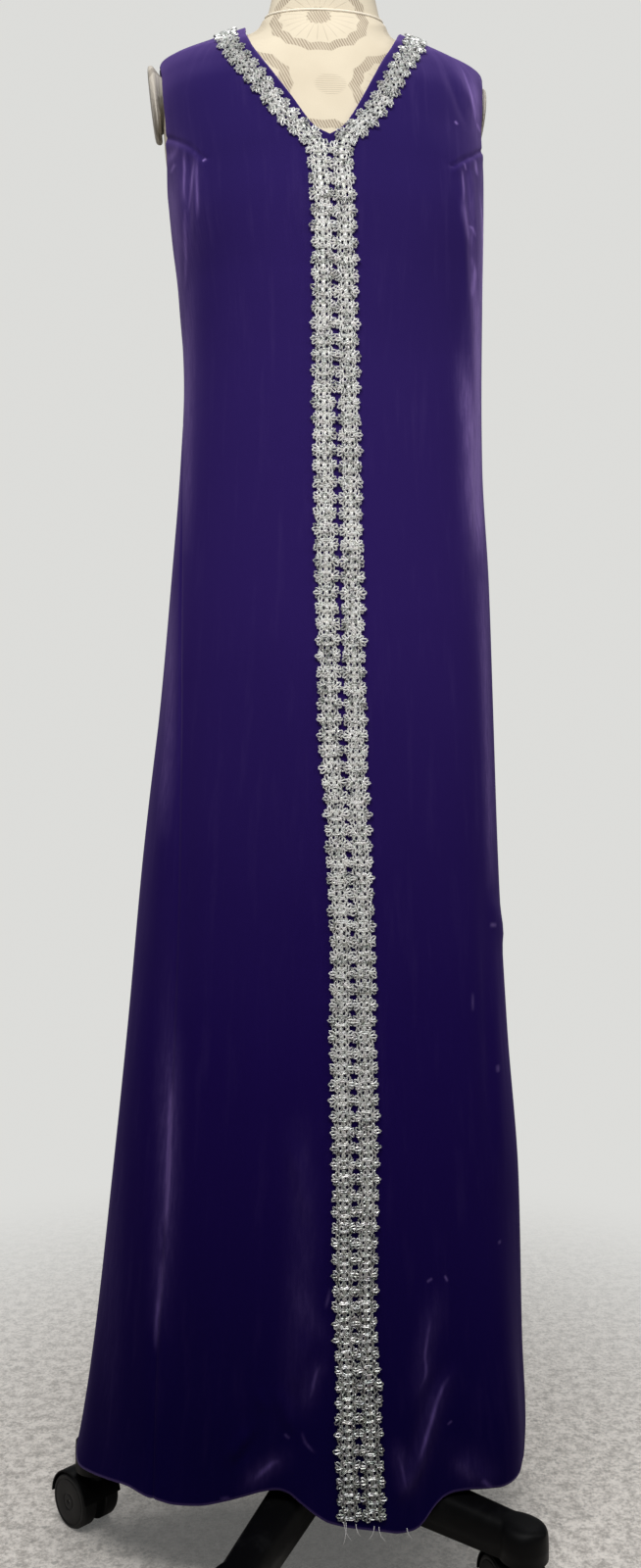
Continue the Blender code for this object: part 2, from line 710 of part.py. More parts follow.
hub_profile = [(HUB_RADIUS, 60), (HUB_RADIUS, 104), (34, HUB_TOP - 4), (30, HUB_TOP)]
solids = [ring_mesh("hub", turned_rings(hub_profile, 20))]
socket = POLE_RADIUS + RUNNING_GAP
holes = [ring_mesh("pole_socket", turned_rings([(socket, 65), (socket, 140)], 20))]
stem_bore = (STEM_RADIUS + RUNNING_GAP) / math.cos(math.pi / STEM_SIDES)  # clear of its flats
for number in range(LEG_COUNT):
    solids.append(ring_mesh("leg", leg_rings(leg_azimuth(number))))
    x, y = heading(leg_azimuth(number)) * STEM_CIRCLE
    bored = turned_rings([(stem_bore, 50), (stem_bore, STEM_TOP + 1)], STEM_SIDES) + (x, y, 0)
    holes.append(ring_mesh("stem_socket", bored))
place("base_star", fuse("base_star", solids, holes), black)


def arc_plate(inner, outer, start, end, steps, half, centre):
    """A band of a ring in the upright plane, from angle start to end, `half` thick to each side."""
    turn = np.radians(np.linspace(start, end, steps))
    way = np.stack([np.cos(turn), np.zeros(steps), np.sin(turn)], axis=-1)
    rings = [
        [centre + way[k] * inner + (0, -half, 0), centre + way[k] * outer + (0, -half, 0),
         centre + way[k] * outer + (0, half, 0), centre + way[k] * inner + (0, half, 0)]
        for k in range(steps)
    ]
    return ring_mesh("band", rings)


# One castor in its own frame: the stem on the upright, the axle along Y behind it
axle = np.array([-TRAIL, 0, AXLE_HEIGHT])
overall_half = WEB_HALF + RUNNING_GAP + WHEEL_THICKNESS
hood = arc_plate(HOOD_INNER, HOOD_OUTER, 12, 178, 10, overall_half, axle)
web_turn = np.radians(np.linspace(12, 178, 10))
web_edge = np.stack([np.cos(web_turn), np.sin(web_turn)], axis=-1) * (HOOD_INNER + 0.6)
foot_turn = np.radians(np.linspace(200, 340, 4))
web_edge = np.vstack([web_edge, np.stack([np.cos(foot_turn), np.sin(foot_turn)], axis=-1) * 10])
web_rings = [
    np.column_stack([web_edge[:, 0] + axle[0], np.full(len(web_edge), y), web_edge[:, 1] + axle[2]])
    for y in (-WEB_HALF, WEB_HALF)
]
boss = turned_rings([(8.5, AXLE_HEIGHT + 25.8), (8.5, 58)], 10)
stem = turned_rings([(STEM_RADIUS, 48), (STEM_RADIUS, STEM_TOP)], STEM_SIDES)
pin = turned_rings([(AXLE_RADIUS, -14), (AXLE_RADIUS, 14)], 8, phase=22.5)[..., [0, 2, 1]] + axle
turned = [ring_mesh("boss", boss), ring_mesh("stem", stem), ring_mesh("pin", pin)]
hood_mesh = fuse("castor_hood", [ring_mesh("web", web_rings), hood, *turned])

# Each wheel is turned, with a blind hole in its inner side for the axle
hole = AXLE_RADIUS + RUNNING_GAP
wheel_profile = [
    (hole, 10), (hole, 0), (WHEEL_RADIUS - 1, 0), (WHEEL_RADIUS, 1),
    (WHEEL_RADIUS, WHEEL_THICKNESS - 2), (WHEEL_RADIUS - 2, WHEEL_THICKNESS),
]
wheel_rings = turned_rings(wheel_profile, WHEEL_SIDES, phase=180 / WHEEL_SIDES)
wheel_meshes = {}
for letter, outwards in (("a", -1), ("b", 1)):
    laid = np.stack([
        wheel_rings[..., 1],
        outwards * (WEB_HALF + RUNNING_GAP + wheel_rings[..., 2]),
        wheel_rings[..., 0],
    ], axis=-1)
    wheel_meshes[letter] = ring_mesh("castor_wheel_" + letter, laid)

for number in range(LEG_COUNT):
    x, y = heading(leg_azimuth(number)) * STEM_CIRCLE
    turn = CASTOR_TURNS[number]
    spin = np.radians(turn)
    label = f"castor_{number + 1}"
    place(label + "_hood", hood_mesh, black, (x, y, 0), turn)
    hub_x, hub_y = x - TRAIL * math.cos(spin), y - TRAIL * math.sin(spin)
    for letter, wheel_mesh in wheel_meshes.items():
        place(f"{label}_wheel_{letter}", wheel_mesh, grey, (hub_x, hub_y, AXLE_HEIGHT), turn)
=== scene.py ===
"""A sleeveless velvet gown with flower braid, on a dress form with a five-leg castor base."""

import math

import bpy
import numpy as np
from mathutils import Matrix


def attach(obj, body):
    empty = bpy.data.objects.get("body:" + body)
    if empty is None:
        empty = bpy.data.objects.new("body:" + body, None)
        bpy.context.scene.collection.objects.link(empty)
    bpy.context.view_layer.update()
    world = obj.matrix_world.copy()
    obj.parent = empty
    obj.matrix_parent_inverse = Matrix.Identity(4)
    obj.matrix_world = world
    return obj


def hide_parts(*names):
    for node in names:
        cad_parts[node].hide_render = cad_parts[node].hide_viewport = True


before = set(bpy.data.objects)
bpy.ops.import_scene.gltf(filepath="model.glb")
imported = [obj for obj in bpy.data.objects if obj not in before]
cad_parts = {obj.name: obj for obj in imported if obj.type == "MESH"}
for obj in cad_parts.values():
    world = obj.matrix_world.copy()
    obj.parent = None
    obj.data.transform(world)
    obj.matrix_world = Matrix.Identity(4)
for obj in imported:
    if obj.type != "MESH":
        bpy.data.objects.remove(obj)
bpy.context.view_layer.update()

# Camera: held upright 0.75 m above the floor, 1.25 m from the pole and a little to the left of the
# gown, and turned so that the pole stands just right of the middle of the picture. It looks level,
# and its small shift puts the horizon where the photograph has it. Sizes are in millimetres.
MM = 0.001
STAND_AT = np.array([26.9, 0, 0])  # where the pole stands in the model
CAMERA_FROM_POLE = np.array([-98, -1246, 745])
CAMERA_RIGHT = 4.39  # degrees
SENSOR_SIDE, FOCAL_LENGTH = 36, 29.25
HORIZON_SHIFT = -0.0075  # of the picture's longer side

camera_data = bpy.data.cameras.new("camera")
camera_data.sensor_width = SENSOR_SIDE
camera_data.lens = FOCAL_LENGTH
camera_data.shift_y = HORIZON_SHIFT
camera_data.dof.use_dof = False
camera = bpy.data.objects.new("camera", camera_data)
camera.location = (STAND_AT + CAMERA_FROM_POLE) * MM
camera.rotation_euler = (math.radians(90), 0, math.radians(-CAMERA_RIGHT))
bpy.context.collection.objects.link(camera)
bpy.context.scene.camera = camera


# Room: a pale carpet that fades into the pale wall colour all round, a broad soft light high in
# front, a weaker one behind, and a dim even light from the walls.
class Value:
    """A socket in a material's nodes. Sums and products of it add Math nodes, and node() adds
    any other node."""

    def __init__(self, tree, socket=None):
        self.tree, self.socket = tree, socket

    def node(self, kind, inputs=(), output=0, **settings):
        """A new node's output: its settings and its ramp's stops first, then values or links."""
        made = self.tree.nodes.new("ShaderNode" + kind)
        stops = settings.pop("stops", ())
        for name, value in settings.items():
            setattr(made, name, value)
        for number, (place, colour) in enumerate(stops):
            ramp = made.color_ramp.elements
            stop = ramp[number] if number < len(ramp) else ramp.new(place)
            stop.position, stop.color = place, colour
        for name, value in dict(inputs).items():
            if isinstance(value, Value):
                self.tree.links.new(value.socket, made.inputs[name])
            else:
                made.inputs[name].default_value = value
        return Value(self.tree, made.outputs[output])

    def parts(self):
        """The three parts of a vector or a colour."""
        split = self.node("SeparateXYZ", {0: self}).socket.node
        return [Value(self.tree, part) for part in split.outputs]

    def maths(self, operation, *values):
        """A Math node's output, from values or numbers."""
        return self.node("Math", dict(enumerate(values)), operation=operation)

    def __add__(self, other):
        return self.maths("ADD", self, other)

    def __sub__(self, other):
        return self.maths("SUBTRACT", self, other)

    def __rsub__(self, other):
        return self.maths("SUBTRACT", other, self)

    def __mul__(self, other):
        return self.maths("MULTIPLY", self, other)

    def __truediv__(self, other):
        return self.maths("DIVIDE", self, other)

    __radd__, __rmul__ = __add__, __mul__

    def step(self, low, high):
        """0 where this is below low, 1 above high, and a smooth S between."""
        return self.node(
            "MapRange",
            {"Value": self, "From Min": low, "From Max": high},
            interpolation_type="SMOOTHSTEP",
        )

    def between(self, first, second):
        """A colour from first, where this is 0, to second, where it is 1."""
        inputs = {"Factor": self, 6: first, 7: second}
        return self.node("Mix", inputs, output=2, data_type="RGBA")


def new_look(name):
    """An empty material and a starting Value in its nodes."""
    material = bpy.data.materials.new(name)
    material.use_nodes = True
    material.node_tree.nodes.clear()
    return material, Value(material.node_tree)


def show(start, shader):
    """Make a shader the one that the material shows."""
    output = start.tree.nodes.new("ShaderNodeOutputMaterial")
    start.tree.links.new(shader.socket, output.inputs["Surface"])


WALL = (0.72, 0.72, 0.70, 1)
FLOOR_REACH = 30  # metres from the middle to each side
FADE_FROM, FADE_TO = 0.25, 1.15  # metres from the stand between which the carpet turns into wall
carpet, at = new_look("carpet")
place = at.node("TexCoord", output="Object")
tufts = at.node("TexNoise", {"Vector": place, "Scale": 230, "Detail": 4, "Roughness": 0.75})
clumps = at.node("TexNoise", {"Vector": place, "Scale": 75, "Detail": 2})
specks = at.node("TexNoise", {"Vector": place, "Scale": 120, "Detail": 0}).step(0.74, 0.80)
height_of_tufts = (tufts * 0.62 + clumps * 0.38).step(0.36, 0.62)
pile = height_of_tufts.between((0.38, 0.345, 0.31, 1), (0.92, 0.858, 0.79, 1))
pile = (specks * 0.6).between(pile, (0.25, 0.24, 0.22, 1))
bumps = at.node("Bump", {"Height": tufts + clumps, "Strength": 0.5, "Distance": 0.003})
floor_shader = at.node(
    "BsdfPrincipled",
    {"Base Color": pile, "Roughness": 0.95, "Specular IOR Level": 0.1, "Normal": bumps},
)
wall_shader = at.node("Emission", {"Color": WALL, "Strength": 1})
far = at.node("VectorMath", {0: place}, output="Value", operation="LENGTH").step(FADE_FROM, FADE_TO)
seen_far = (far * 0.88 + 0.12) * (at.node("LightPath", output="Is Camera Ray") * 0.9 + 0.1)
show(at, at.node("MixShader", {0: seen_far, 1: floor_shader, 2: wall_shader}))

floor_data = bpy.data.meshes.new("floor")
floor_corners = [(x * FLOOR_REACH, y * FLOOR_REACH, 0) for x, y in ((-1, -1), (1, -1), (1, 1), (-1, 1))]
floor_data.from_pydata(floor_corners, [], [(0, 1, 2, 3)])
floor_data.materials.append(carpet)
floor = bpy.data.objects.new("floor", floor_data)
bpy.context.collection.objects.link(floor)

world = bpy.data.worlds.new("room")
bpy.context.scene.world = world
world.use_nodes = True
world.node_tree.nodes.clear()
at = Value(world.node_tree)
seen = at.node("Background", {"Color": WALL, "Strength": 1})
walls = at.node("Background", {"Color": (0.96, 0.98, 1, 1), "Strength": 0.17})
camera_ray = at.node("LightPath", output="Is Camera Ray")
room_light = at.node("MixShader", {0: camera_ray, 1: walls, 2: seen})
world_out = world.node_tree.nodes.new("ShaderNodeOutputWorld")
world.node_tree.links.new(room_light.socket, world_out.inputs["Surface"])


def soft_light(name, position, target, size, power):
    """A rectangular light at a position in metres, turned to a target."""
    data = bpy.data.lights.new(name, "AREA")
    data.shape = "RECTANGLE"
    data.size, data.size_y = size
    data.energy = power
    lamp = bpy.data.objects.new(name, data)
    lamp.location = position
    way = np.array(position) - np.array(target)
    tilt = math.acos(way[2] / np.linalg.norm(way))
    lamp.rotation_euler = (tilt, 0, math.atan2(way[1], way[0]) + math.pi / 2)
    lamp.visible_camera = False
    bpy.context.collection.objects.link(lamp)


soft_light("key", (-0.25, -1.1, 2.35), (0.0, 0.0, 1.2), (1.5, 0.7), 33)
soft_light("side", (1.7, -0.9, 1.9), (0.0, 0.0, 1.0), (0.8, 1.2), 9)
soft_light("behind", (0.3, 1.7, 2.3), (0.0, 0.0, 1.1), (1.6, 0.8), 16)
bpy.context.scene.view_settings.view_transform = "Standard"

# Dress form: a hollow torso moulded in card and covered in printed cotton, which ends in a neck
# with its own cover and a metal cap. The gown hides all but the neck, a V of the chest and the
# oval plates that close the arms. The torso follows the inside of the gown from the bust up.


def columns(names, *rows):
    """A table: the numbers under each name, from rows that read across."""
    return dict(zip(names.split(), np.array(rows, float).T))


def along(table, key, name, where):
    """Column `name` where column `key` is `where`: a cubic through the rows with no overshoot."""
    x, y = table[key], table[name]
    step = np.diff(x)
    rise = np.diff(y) / step
    before, after = rise[:-1], rise[1:]
    steady = before * after > 0
    mean = 2 * before * after / np.where(steady, before + after, 1)
    slope = np.concatenate([rise[:1], np.where(steady, mean, 0), rise[-1:]])
    where = np.clip(where, x[0], x[-1])
    k = np.clip(np.searchsorted(x, where) - 1, 0, len(step) - 1)
    t = (where - x[k]) / step[k]
    start = (1 + 2 * t) * (1 - t) ** 2 * y[k] + t * (1 - t) ** 2 * step[k] * slope[k]
    end = t * t * (3 - 2 * t) * y[k + 1] - t * t * (1 - t) * step[k] * slope[k + 1]
    return start + end


def ease(value, low, high):
    """0 below low, 1 above high, and a smooth S between."""
    t = np.clip((value - low) / (high - low), 0, 1)
    return t * t * (3 - 2 * t)


def unit(vectors):
    """The vectors at length 1."""
    return vectors / np.linalg.norm(vectors, axis=-1, keepdims=True)


# Outside of the gown, which the torso follows too: half widths to each side of the pole, depths
# before and behind it, and how square each quarter is (2 is an ellipse)
GOWN = columns(
    "height left right front back left_square right_square back_square",
    (60, 247, 192, 113, 124, 2.0, 2.8, 2.1),
    (120, 234, 196, 113, 122, 2.0, 2.7, 2.1),
    (200, 222, 193, 112, 120, 2.0, 2.6, 2.1),
    (350, 205, 190, 112, 118, 2.1, 2.5, 2.1),
    (503, 189, 179, 112, 116, 2.2, 2.4, 2.2),
    (657, 175, 171, 112, 114, 2.2, 2.4, 2.2),
    (810, 158, 166, 111, 113, 2.2, 2.4, 2.2),
    (925, 148, 162, 110, 111, 2.3, 2.4, 2.2),
    (1040, 139, 155.5, 109, 99, 2.3, 2.4, 2.2),
    (1117, 135.5, 154.5, 109, 92, 2.3, 2.4, 2.2),
    (1194, 139, 154.5, 112, 95, 2.4, 2.5, 2.2),
    (1260, 147, 155, 115, 100, 2.6, 2.6, 2.3),
    (1309, 152, 156, 109, 101, 2.5, 2.5, 2.4),
    (1350, 158, 156.5, 98, 99, 2.4, 2.4, 2.4),
    (1385, 161.5, 159, 87, 95, 2.3, 2.3, 2.3),
    (1410, 162, 160, 78, 89, 2.0, 2.0, 2.1),
    (1430, 159, 157.5, 70.5, 83, 1.65, 1.65, 2.0),
    (1440, 149, 146, 66, 79, 1.4, 1.4, 2.0),
    (1450, 128, 127, 60.5, 74, 1.28, 1.28, 2.0),
    (1460, 104, 101, 55, 68, 1.2, 1.2, 2.0),
    (1469, 77, 78, 50.5, 62.5, 1.2, 1.2, 2.0),
    (1477, 64, 65, 48, 59, 1.6, 1.6, 2.0),
    (1490, 51, 51, 46, 55, 2.0, 2.0, 2.0),
)

# Largest folds: the ridge's angle and height at its top and bottom, its half width in degrees,
# and how far it stands out of the cloth
FOLDS = columns(
    "top_angle bottom_angle top bottom half_width rise",
    (-58, -44, 520, 90, 5, 3.0),
    (27, 13, 330, 60, 6, 5.0),
    (46, 43, 360, 60, 13, 20.0),
    (-18, -6, 300, 60, 6, 2.5),
    (150, 146, 900, 60, 13, 9.0),
    (-172, -168, 940, 60, 13, 8.0),
    (-130, -128, 900, 60, 13, 9.0),
    (112, 110, 820, 60, 9, 6.0),
)


def fold_rise(angle, height):
    """How far the folds lift the cloth: for each, a bell across and a smooth start at its top."""
    total = np.zeros(np.broadcast(angle, height).shape)
    for top_angle, bottom_angle, top, bottom, half_width, rise in zip(*FOLDS.values()):
        down = np.clip((top - height) / (top - bottom), 0, 1)
        across = (angle - top_angle - (bottom_angle - top_angle) * down + 180) % 360 - 180
        total += rise * ease(down, 0, 0.8) * np.exp(-((across / half_width) ** 2))
    return total


def gown_point(angle, height):
    """Outside of the gown at an angle round it and a height: a superellipse at each level.

    Angle 0 is the front, -90 the viewer's left and 180 the back.
    """
    angle, height = np.broadcast_arrays(np.asarray(angle, float), np.asarray(height, float))
    side, ahead = np.sin(np.radians(angle)), np.cos(np.radians(angle))
    level = {name: along(GOWN, "height", name, height) for name in GOWN}
    front_square = np.where(side < 0, level["left_square"], level["right_square"])
    square = np.where(ahead > 0, front_square, level["back_square"])
    width = np.where(side < 0, level["left"], level["right"])
    depth = np.where(ahead > 0, level["front"], level["back"])
    swell = (np.abs(side) ** square + np.abs(ahead) ** square) ** (-1 / square)
    x, y = side * swell, -ahead * swell
    out_x = np.sign(x) * np.abs(x) ** (square - 1) / width
    out_y = np.sign(y) * np.abs(y) ** (square - 1) / depth
    rise = fold_rise(angle, height) / np.hypot(out_x, out_y)
    return np.stack([x * width + out_x * rise, y * depth + out_y * rise, height], axis=-1)


def gown_normal(angle, height):
    """Unit vectors out of the gown: its slope round crossed with its slope upwards."""
    angle, height = np.asarray(angle, float), np.asarray(height, float)
    round_it = gown_point(angle + 0.5, height) - gown_point(angle - 0.5, height)
    upwards = gown_point(angle, height + 1) - gown_point(angle, height - 1)
    return unit(np.cross(round_it, upwards))


def angle_at(across, height):
    """Angle on the front of the gown at a distance across from the pole."""
    right = np.asarray(across) > 0
    level = {name: along(GOWN, "height", name, height) for name in GOWN}
    width = np.where(right, level["right"], level["left"])
    square = np.where(right, level["right_square"], level["left_square"])
    share = np.clip(np.abs(across) / width, 0, 1)
    return np.sign(across) * np.degrees(np.arctan2(share, (1 - share**square) ** (1 / square)))


# The neck opening: half its width, by height, from the bottom of its V to the shoulders
NECK_EDGE = columns(
    "height half",
    (1318, 0),
    (1323, 9),
    (1329, 15.5),
    (1339, 22),
    (1356, 31.5),
    (1375, 42),
    (1406, 58.5),
    (1421, 66),
    (1440, 72),
    (1469, 76.5),
)


def neck_half_width(height):
    """Half the V's opening at a height."""
    return along(NECK_EDGE, "height", "half", height)


CLOTH = 2.0  # thickness of the lined velvet
FORM_EASE, UPPER_EASE, SHOULDER_EASE = 1.4, 4.4, 0.9  # gown to form at bust, above, on shoulders
UPPER_FROM, UPPER_TO = 1330, 1400  # heights between which the gap widens from the bust's
SHOULDERS = (1437, 1446), (1456, 1464)  # where the gown starts and stops resting on the shoulders
OWN_TO, FOLLOWS_FROM = 1170, 1240  # the torso has its own levels below, and the gown's above
TORSO = columns(
    "height width front back",
    (780, 136, 88, 96),
    (850, 143, 94, 104),
    (900, 144, 96, 105),
    (960, 139, 94, 98),
    (1040, 128, 88, 83),
    (1100, 122, 85, 78),
    (1160, 126, 92, 83),
    (1240, 138, 106, 92),
)
# The same for the chest and neck where the neck opening leaves them bare
CHEST = columns(
    "height width front",
    (1350, 156, 98),
    (1385, 158, 87),
    (1410, 152, 78),
    (1430, 124, 70),
    (1440, 103, 66),
    (1450, 89, 60.5),
    (1460, 79, 55.5),
    (1469, 71, 51.5),
    (1477, 62, 48.5),
    (1490, 51, 46),
)
NECK_SEAM_LEVEL, NECK_SEAM_TILT = 1477, 0.27  # the neck is joined on a plane that rises backwards


def torso_point(angle, height):
    """Outside of the form: its own levels up to the bust, then just inside the gown."""
    gap = FORM_EASE + (UPPER_EASE - FORM_EASE) * ease(height, UPPER_FROM, UPPER_TO)
    from_ridge = np.abs((angle + 180) % 360 - 180) - 90
    shoulder = ease(height, *SHOULDERS[0]) * (1 - ease(height, *SHOULDERS[1]))
    gap += (SHOULDER_EASE - gap) * np.exp(-((from_ridge / 8) ** 2)) * shoulder
    inside = gown_point(angle, height) - gown_normal(angle, height) * (CLOTH + gap)[..., None]
    side, ahead = np.sin(np.radians(angle)), -np.cos(np.radians(angle))
    edge = np.abs(angle_at(neck_half_width(height), height))
    bare = (1 - ease(np.abs((angle + 180) % 360 - 180), edge - 20, edge - 6))[..., None]
    chest = np.stack([
        (along(CHEST, "height", "width", height) - CLOTH - gap) * side,
        (along(CHEST, "height", "front", height) - CLOTH - gap) * ahead,
        height + 0 * angle,
    ], axis=-1)
    inside = inside + (chest - inside) * bare
    depth = np.where(
        ahead < 0, along(TORSO, "height", "front", height), along(TORSO, "height", "back", height)
    )
    width = along(TORSO, "height", "width", height)
    free = np.stack([width * side, depth * ahead, height], axis=-1)
    blend = ease(height, OWN_TO, FOLLOWS_FROM)[..., None]
    return free * (1 - blend) + inside * blend


def new_piece(name, points, faces, body, uv=None, looks=(), look_of_face=None, smooth=True):
    """A piece of the object from points in millimetres from the pole, with its place in its mesh.

    uv is across, up and the whole way round: a face that crosses the back, where the distance
    across starts again, has that added to its low corners.
    """
    mesh = bpy.data.meshes.new(name)
    mesh.from_pydata(((np.asarray(points) + STAND_AT) * MM).tolist(), [], faces)
    for look in looks:
        mesh.materials.append(look)
    if look_of_face is not None:
        mesh.polygons.foreach_set("material_index", np.asarray(look_of_face, np.int32))
    mesh.polygons.foreach_set("use_smooth", np.full(len(mesh.polygons), smooth))
    if uv is not None:
        corner = np.empty(len(mesh.loops), np.int32)
        mesh.loops.foreach_get("vertex_index", corner)
        sides = np.empty(len(mesh.polygons), np.int32)
        mesh.polygons.foreach_get("loop_total", sides)
        owner = np.repeat(np.arange(len(sides)), sides)
        across, up, whole = np.asarray(uv, float).reshape(-1, 3)[corner].T
        highest = np.full(len(sides), -1e9)
        np.maximum.at(highest, owner, across)
        across = across + whole * (across < highest[owner] - whole / 2)
        layer = mesh.uv_layers.new(name="cloth")
        layer.data.foreach_set("uv", np.stack([across, up], axis=-1).astype(np.float32).ravel())
    mesh.update()
    piece = bpy.data.objects.new(name, mesh)
    bpy.context.collection.objects.link(piece)
    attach(piece, body)
    return piece


def ring_faces(rings, sides, start=0):
    """Faces through rings of equal count that go counter-clockwise seen from the last ring's
    side, with a cap at each end."""
    index = start + np.arange(rings * sides).reshape(rings, sides)
    beside = np.roll(index, -1, axis=1)
    faces = np.stack([index[:-1], beside[:-1], beside[1:], index[1:]], axis=-1).reshape(-1, 4)
    return faces.tolist() + [index[0][::-1].tolist(), index[-1].tolist()]


# The cover's print: round lace-like medallions in staggered rows, each a hatched blot and thin
# spokes inside a scalloped and hatched ring, with a small lined oval between them. In metres.
MEDALLION_APART, MEDALLION_UP, RING_RADIUS = 0.150, 0.165, 0.045
MEDALLION_AT = (-0.008, 1.457)  # middle of one of them on the cover's map


def printed_cotton(name, clean, worn, printed):
    """The cover's cotton with its print, from the colours of its clean and worn ground and its ink."""
    material, at = new_look(name)
    print_uv = at.node("UVMap", uv_map="cloth")
    across, upward, _ = print_uv.parts()
    wander = at.node("TexNoise", {"Vector": print_uv, "Scale": 55, "Detail": 2}) - 0.5
    hatch = at.maths("SINE", (across * 0.92 + upward * 0.39) * 2500 + wander * 5).step(-0.5, 0.4)
    lines = at.maths("SINE", upward * 2600 + wander * 5).step(0.55, 0.9)
    ink = None
    for row_shift in (0.0, 0.5):
        from_x = (across - MEDALLION_AT[0]) / MEDALLION_APART + row_shift
        from_y = (upward - MEDALLION_AT[1]) / MEDALLION_UP + row_shift
        from_x = (from_x - at.maths("ROUND", from_x)) * MEDALLION_APART
        from_y = (from_y - at.maths("ROUND", from_y)) * (MEDALLION_UP * 1.12)
        turn = at.maths("ARCTAN2", from_y, from_x)
        radius = at.maths("SQRT", from_x * from_x + from_y * from_y) + wander * 0.004
        radius = radius + at.maths("ABSOLUTE", at.maths("SINE", turn * 7)) * 0.0028
        ring = 1 - at.maths("ABSOLUTE", radius - RING_RADIUS).step(0.0045, 0.006)
        blot = 1 - radius.step(0.012, 0.0145)
        spokes = at.maths("SINE", turn * 22).step(0.93, 1.0) * radius.step(0.014, 0.018)
        spokes = spokes * (1 - radius.step(0.034, 0.039)) * 0.45
        medallion = at.maths("MAXIMUM", at.maths("MAXIMUM", ring, blot) * (hatch * 0.75 + 0.25), spokes)
        oval_x = across / MEDALLION_APART + 0.5 + row_shift
        oval_x = (oval_x - at.maths("ROUND", oval_x)) * MEDALLION_APART
        oval_y = (upward - MEDALLION_AT[1]) / MEDALLION_UP + row_shift
        oval_y = (oval_y - at.maths("ROUND", oval_y)) * MEDALLION_UP
        oval = at.maths("SQRT", oval_x * oval_x + oval_y * oval_y * 1.4) + wander * 0.006
        oval = (1 - oval.step(0.013, 0.016)) * lines * 0.6
        medallion = at.maths("MAXIMUM", medallion, oval)
        ink = medallion if ink is None else at.maths("MAXIMUM", ink, medallion)
    weave = at.node("TexNoise", {"Vector": print_uv, "Scale": 900, "Detail": 1})
    soiled = at.node("TexNoise", {"Vector": print_uv, "Scale": 9, "Detail": 3})
    cloth_tone = soiled.step(0.3, 0.8).between(clean, worn)
    cover_colour = (ink * (0.8 + wander * 0.6)).between(cloth_tone, printed)
    cover_bump = at.node("Bump", {"Height": weave + ink * 0.3, "Strength": 0.3, "Distance": 0.0006})
    show(at, at.node(
        "BsdfPrincipled",
        {"Base Color": cover_colour, "Roughness": 0.85, "Sheen Weight": 0.1, "Normal": cover_bump},
    ))
    return material


cover = printed_cotton(
    "printed cotton cover", (0.64, 0.565, 0.43, 1), (0.54, 0.465, 0.345, 1), (0.23, 0.175, 0.12, 1)
)
# painted shade: the arm plates get a darker copy of the cover's colours
plate_cover_in_painted_shade = printed_cotton(
    "cotton cover in painted shade", (0.46, 0.42, 0.36, 1), (0.33, 0.30, 0.245, 1), (0.15, 0.125, 0.095, 1)
)


def cover_map(rings):
    """Where the print lies on rings that start at the front: the distance round each ring from
    there, to the right and to the left, the height, and the whole way round."""
    step = np.linalg.norm((np.roll(rings, -1, axis=1) - rings)[..., :2], axis=-1)
    whole = step.sum(axis=1, keepdims=True)
    right = np.cumsum(step, axis=1) - step
    here = np.where(np.arange(rings.shape[1]) <= rings.shape[1] // 2, right, right - whole)
    return np.stack([here, rings[..., 2], whole + 0 * here], axis=-1) * MM


TORSO_SIDES, TORSO_ROWS, SHOULDER_ROWS = 144, 110, 34
FORM_BOTTOM, LEVEL_UP_TO = 780, 1424  # the rows above are tilted more and more, like the neck's seam
turn_round = np.arange(TORSO_SIDES) * 360 / TORSO_SIDES
low_rows = np.linspace(FORM_BOTTOM, LEVEL_UP_TO, TORSO_ROWS)[:, None] + 0 * turn_round
neck_seam = np.full((1, TORSO_SIDES), float(NECK_SEAM_LEVEL))
for _ in range(12):
    reached = torso_point(turn_round, neck_seam)
    neck_seam = neck_seam + NECK_SEAM_LEVEL + NECK_SEAM_TILT * reached[..., 1] - reached[..., 2]
high_rows = LEVEL_UP_TO + (neck_seam - LEVEL_UP_TO) * np.linspace(0, 1, SHOULDER_ROWS)[1:, None]
torso_levels = np.vstack([low_rows, high_rows])
torso = torso_point(turn_round[None, :] + 0 * torso_levels, torso_levels)
torso[-1, :, 2] = NECK_SEAM_LEVEL + NECK_SEAM_TILT * torso[-1, :, 1]
torso_piece = new_piece(
    "form_cover", torso.reshape(-1, 3), ring_faces(*torso.shape[:2]), "stand_and_gown",
    cover_map(torso), [cover],
)
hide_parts("form_torso")

NECK_TOP, NECK_TOP_RADIUS, RUNNING_GAP = 1545, 46, 0.3
neck_share = np.linspace(0, 1, 24)[:, None, None]
neck_foot = torso[-1] * (0.98, 0.98, 0)
neck_foot[:, 2] = NECK_SEAM_LEVEL + NECK_SEAM_TILT * neck_foot[:, 1] + RUNNING_GAP
neck_end = np.stack([
    NECK_TOP_RADIUS * np.sin(np.radians(turn_round)),
    -NECK_TOP_RADIUS * np.cos(np.radians(turn_round)),
    np.full(TORSO_SIDES, NECK_TOP),
], axis=-1)
neck_in = 1 - (1 - neck_share) ** 1.6
neck = neck_foot + (neck_end - neck_foot) * np.concatenate([neck_in, neck_in, neck_share], axis=-1)
neck_piece = new_piece(
    "neck_cover", neck.reshape(-1, 3), ring_faces(*neck.shape[:2]), "stand_and_gown",
    cover_map(neck), [cover],
)
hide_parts("form_neck")


def tube(path, out, radius, sides):
    """Rings round a closed path: circles in the plane of its outward and its crossways directions."""
    ahead = unit(np.roll(path, -1, axis=0) - np.roll(path, 1, axis=0))
    out = unit(out - ahead * (out * ahead).sum(axis=-1, keepdims=True))
    turn = np.arange(sides) * 2 * np.pi / sides
    side = np.cross(ahead, out)
    return path[:, None] + radius * (
        np.cos(turn)[:, None] * out[:, None] + np.sin(turn)[:, None] * side[:, None]
    )


def closed_tube_faces(rings, sides):
    """Faces of a tube whose last ring joins its first."""
    index = np.arange(rings * sides).reshape(rings, sides)
    ahead, turned = np.roll(index, -1, axis=0), np.roll(index, -1, axis=1)
    return np.stack([index, turned, np.roll(ahead, -1, axis=1), ahead], axis=-1).reshape(-1, 4).tolist()


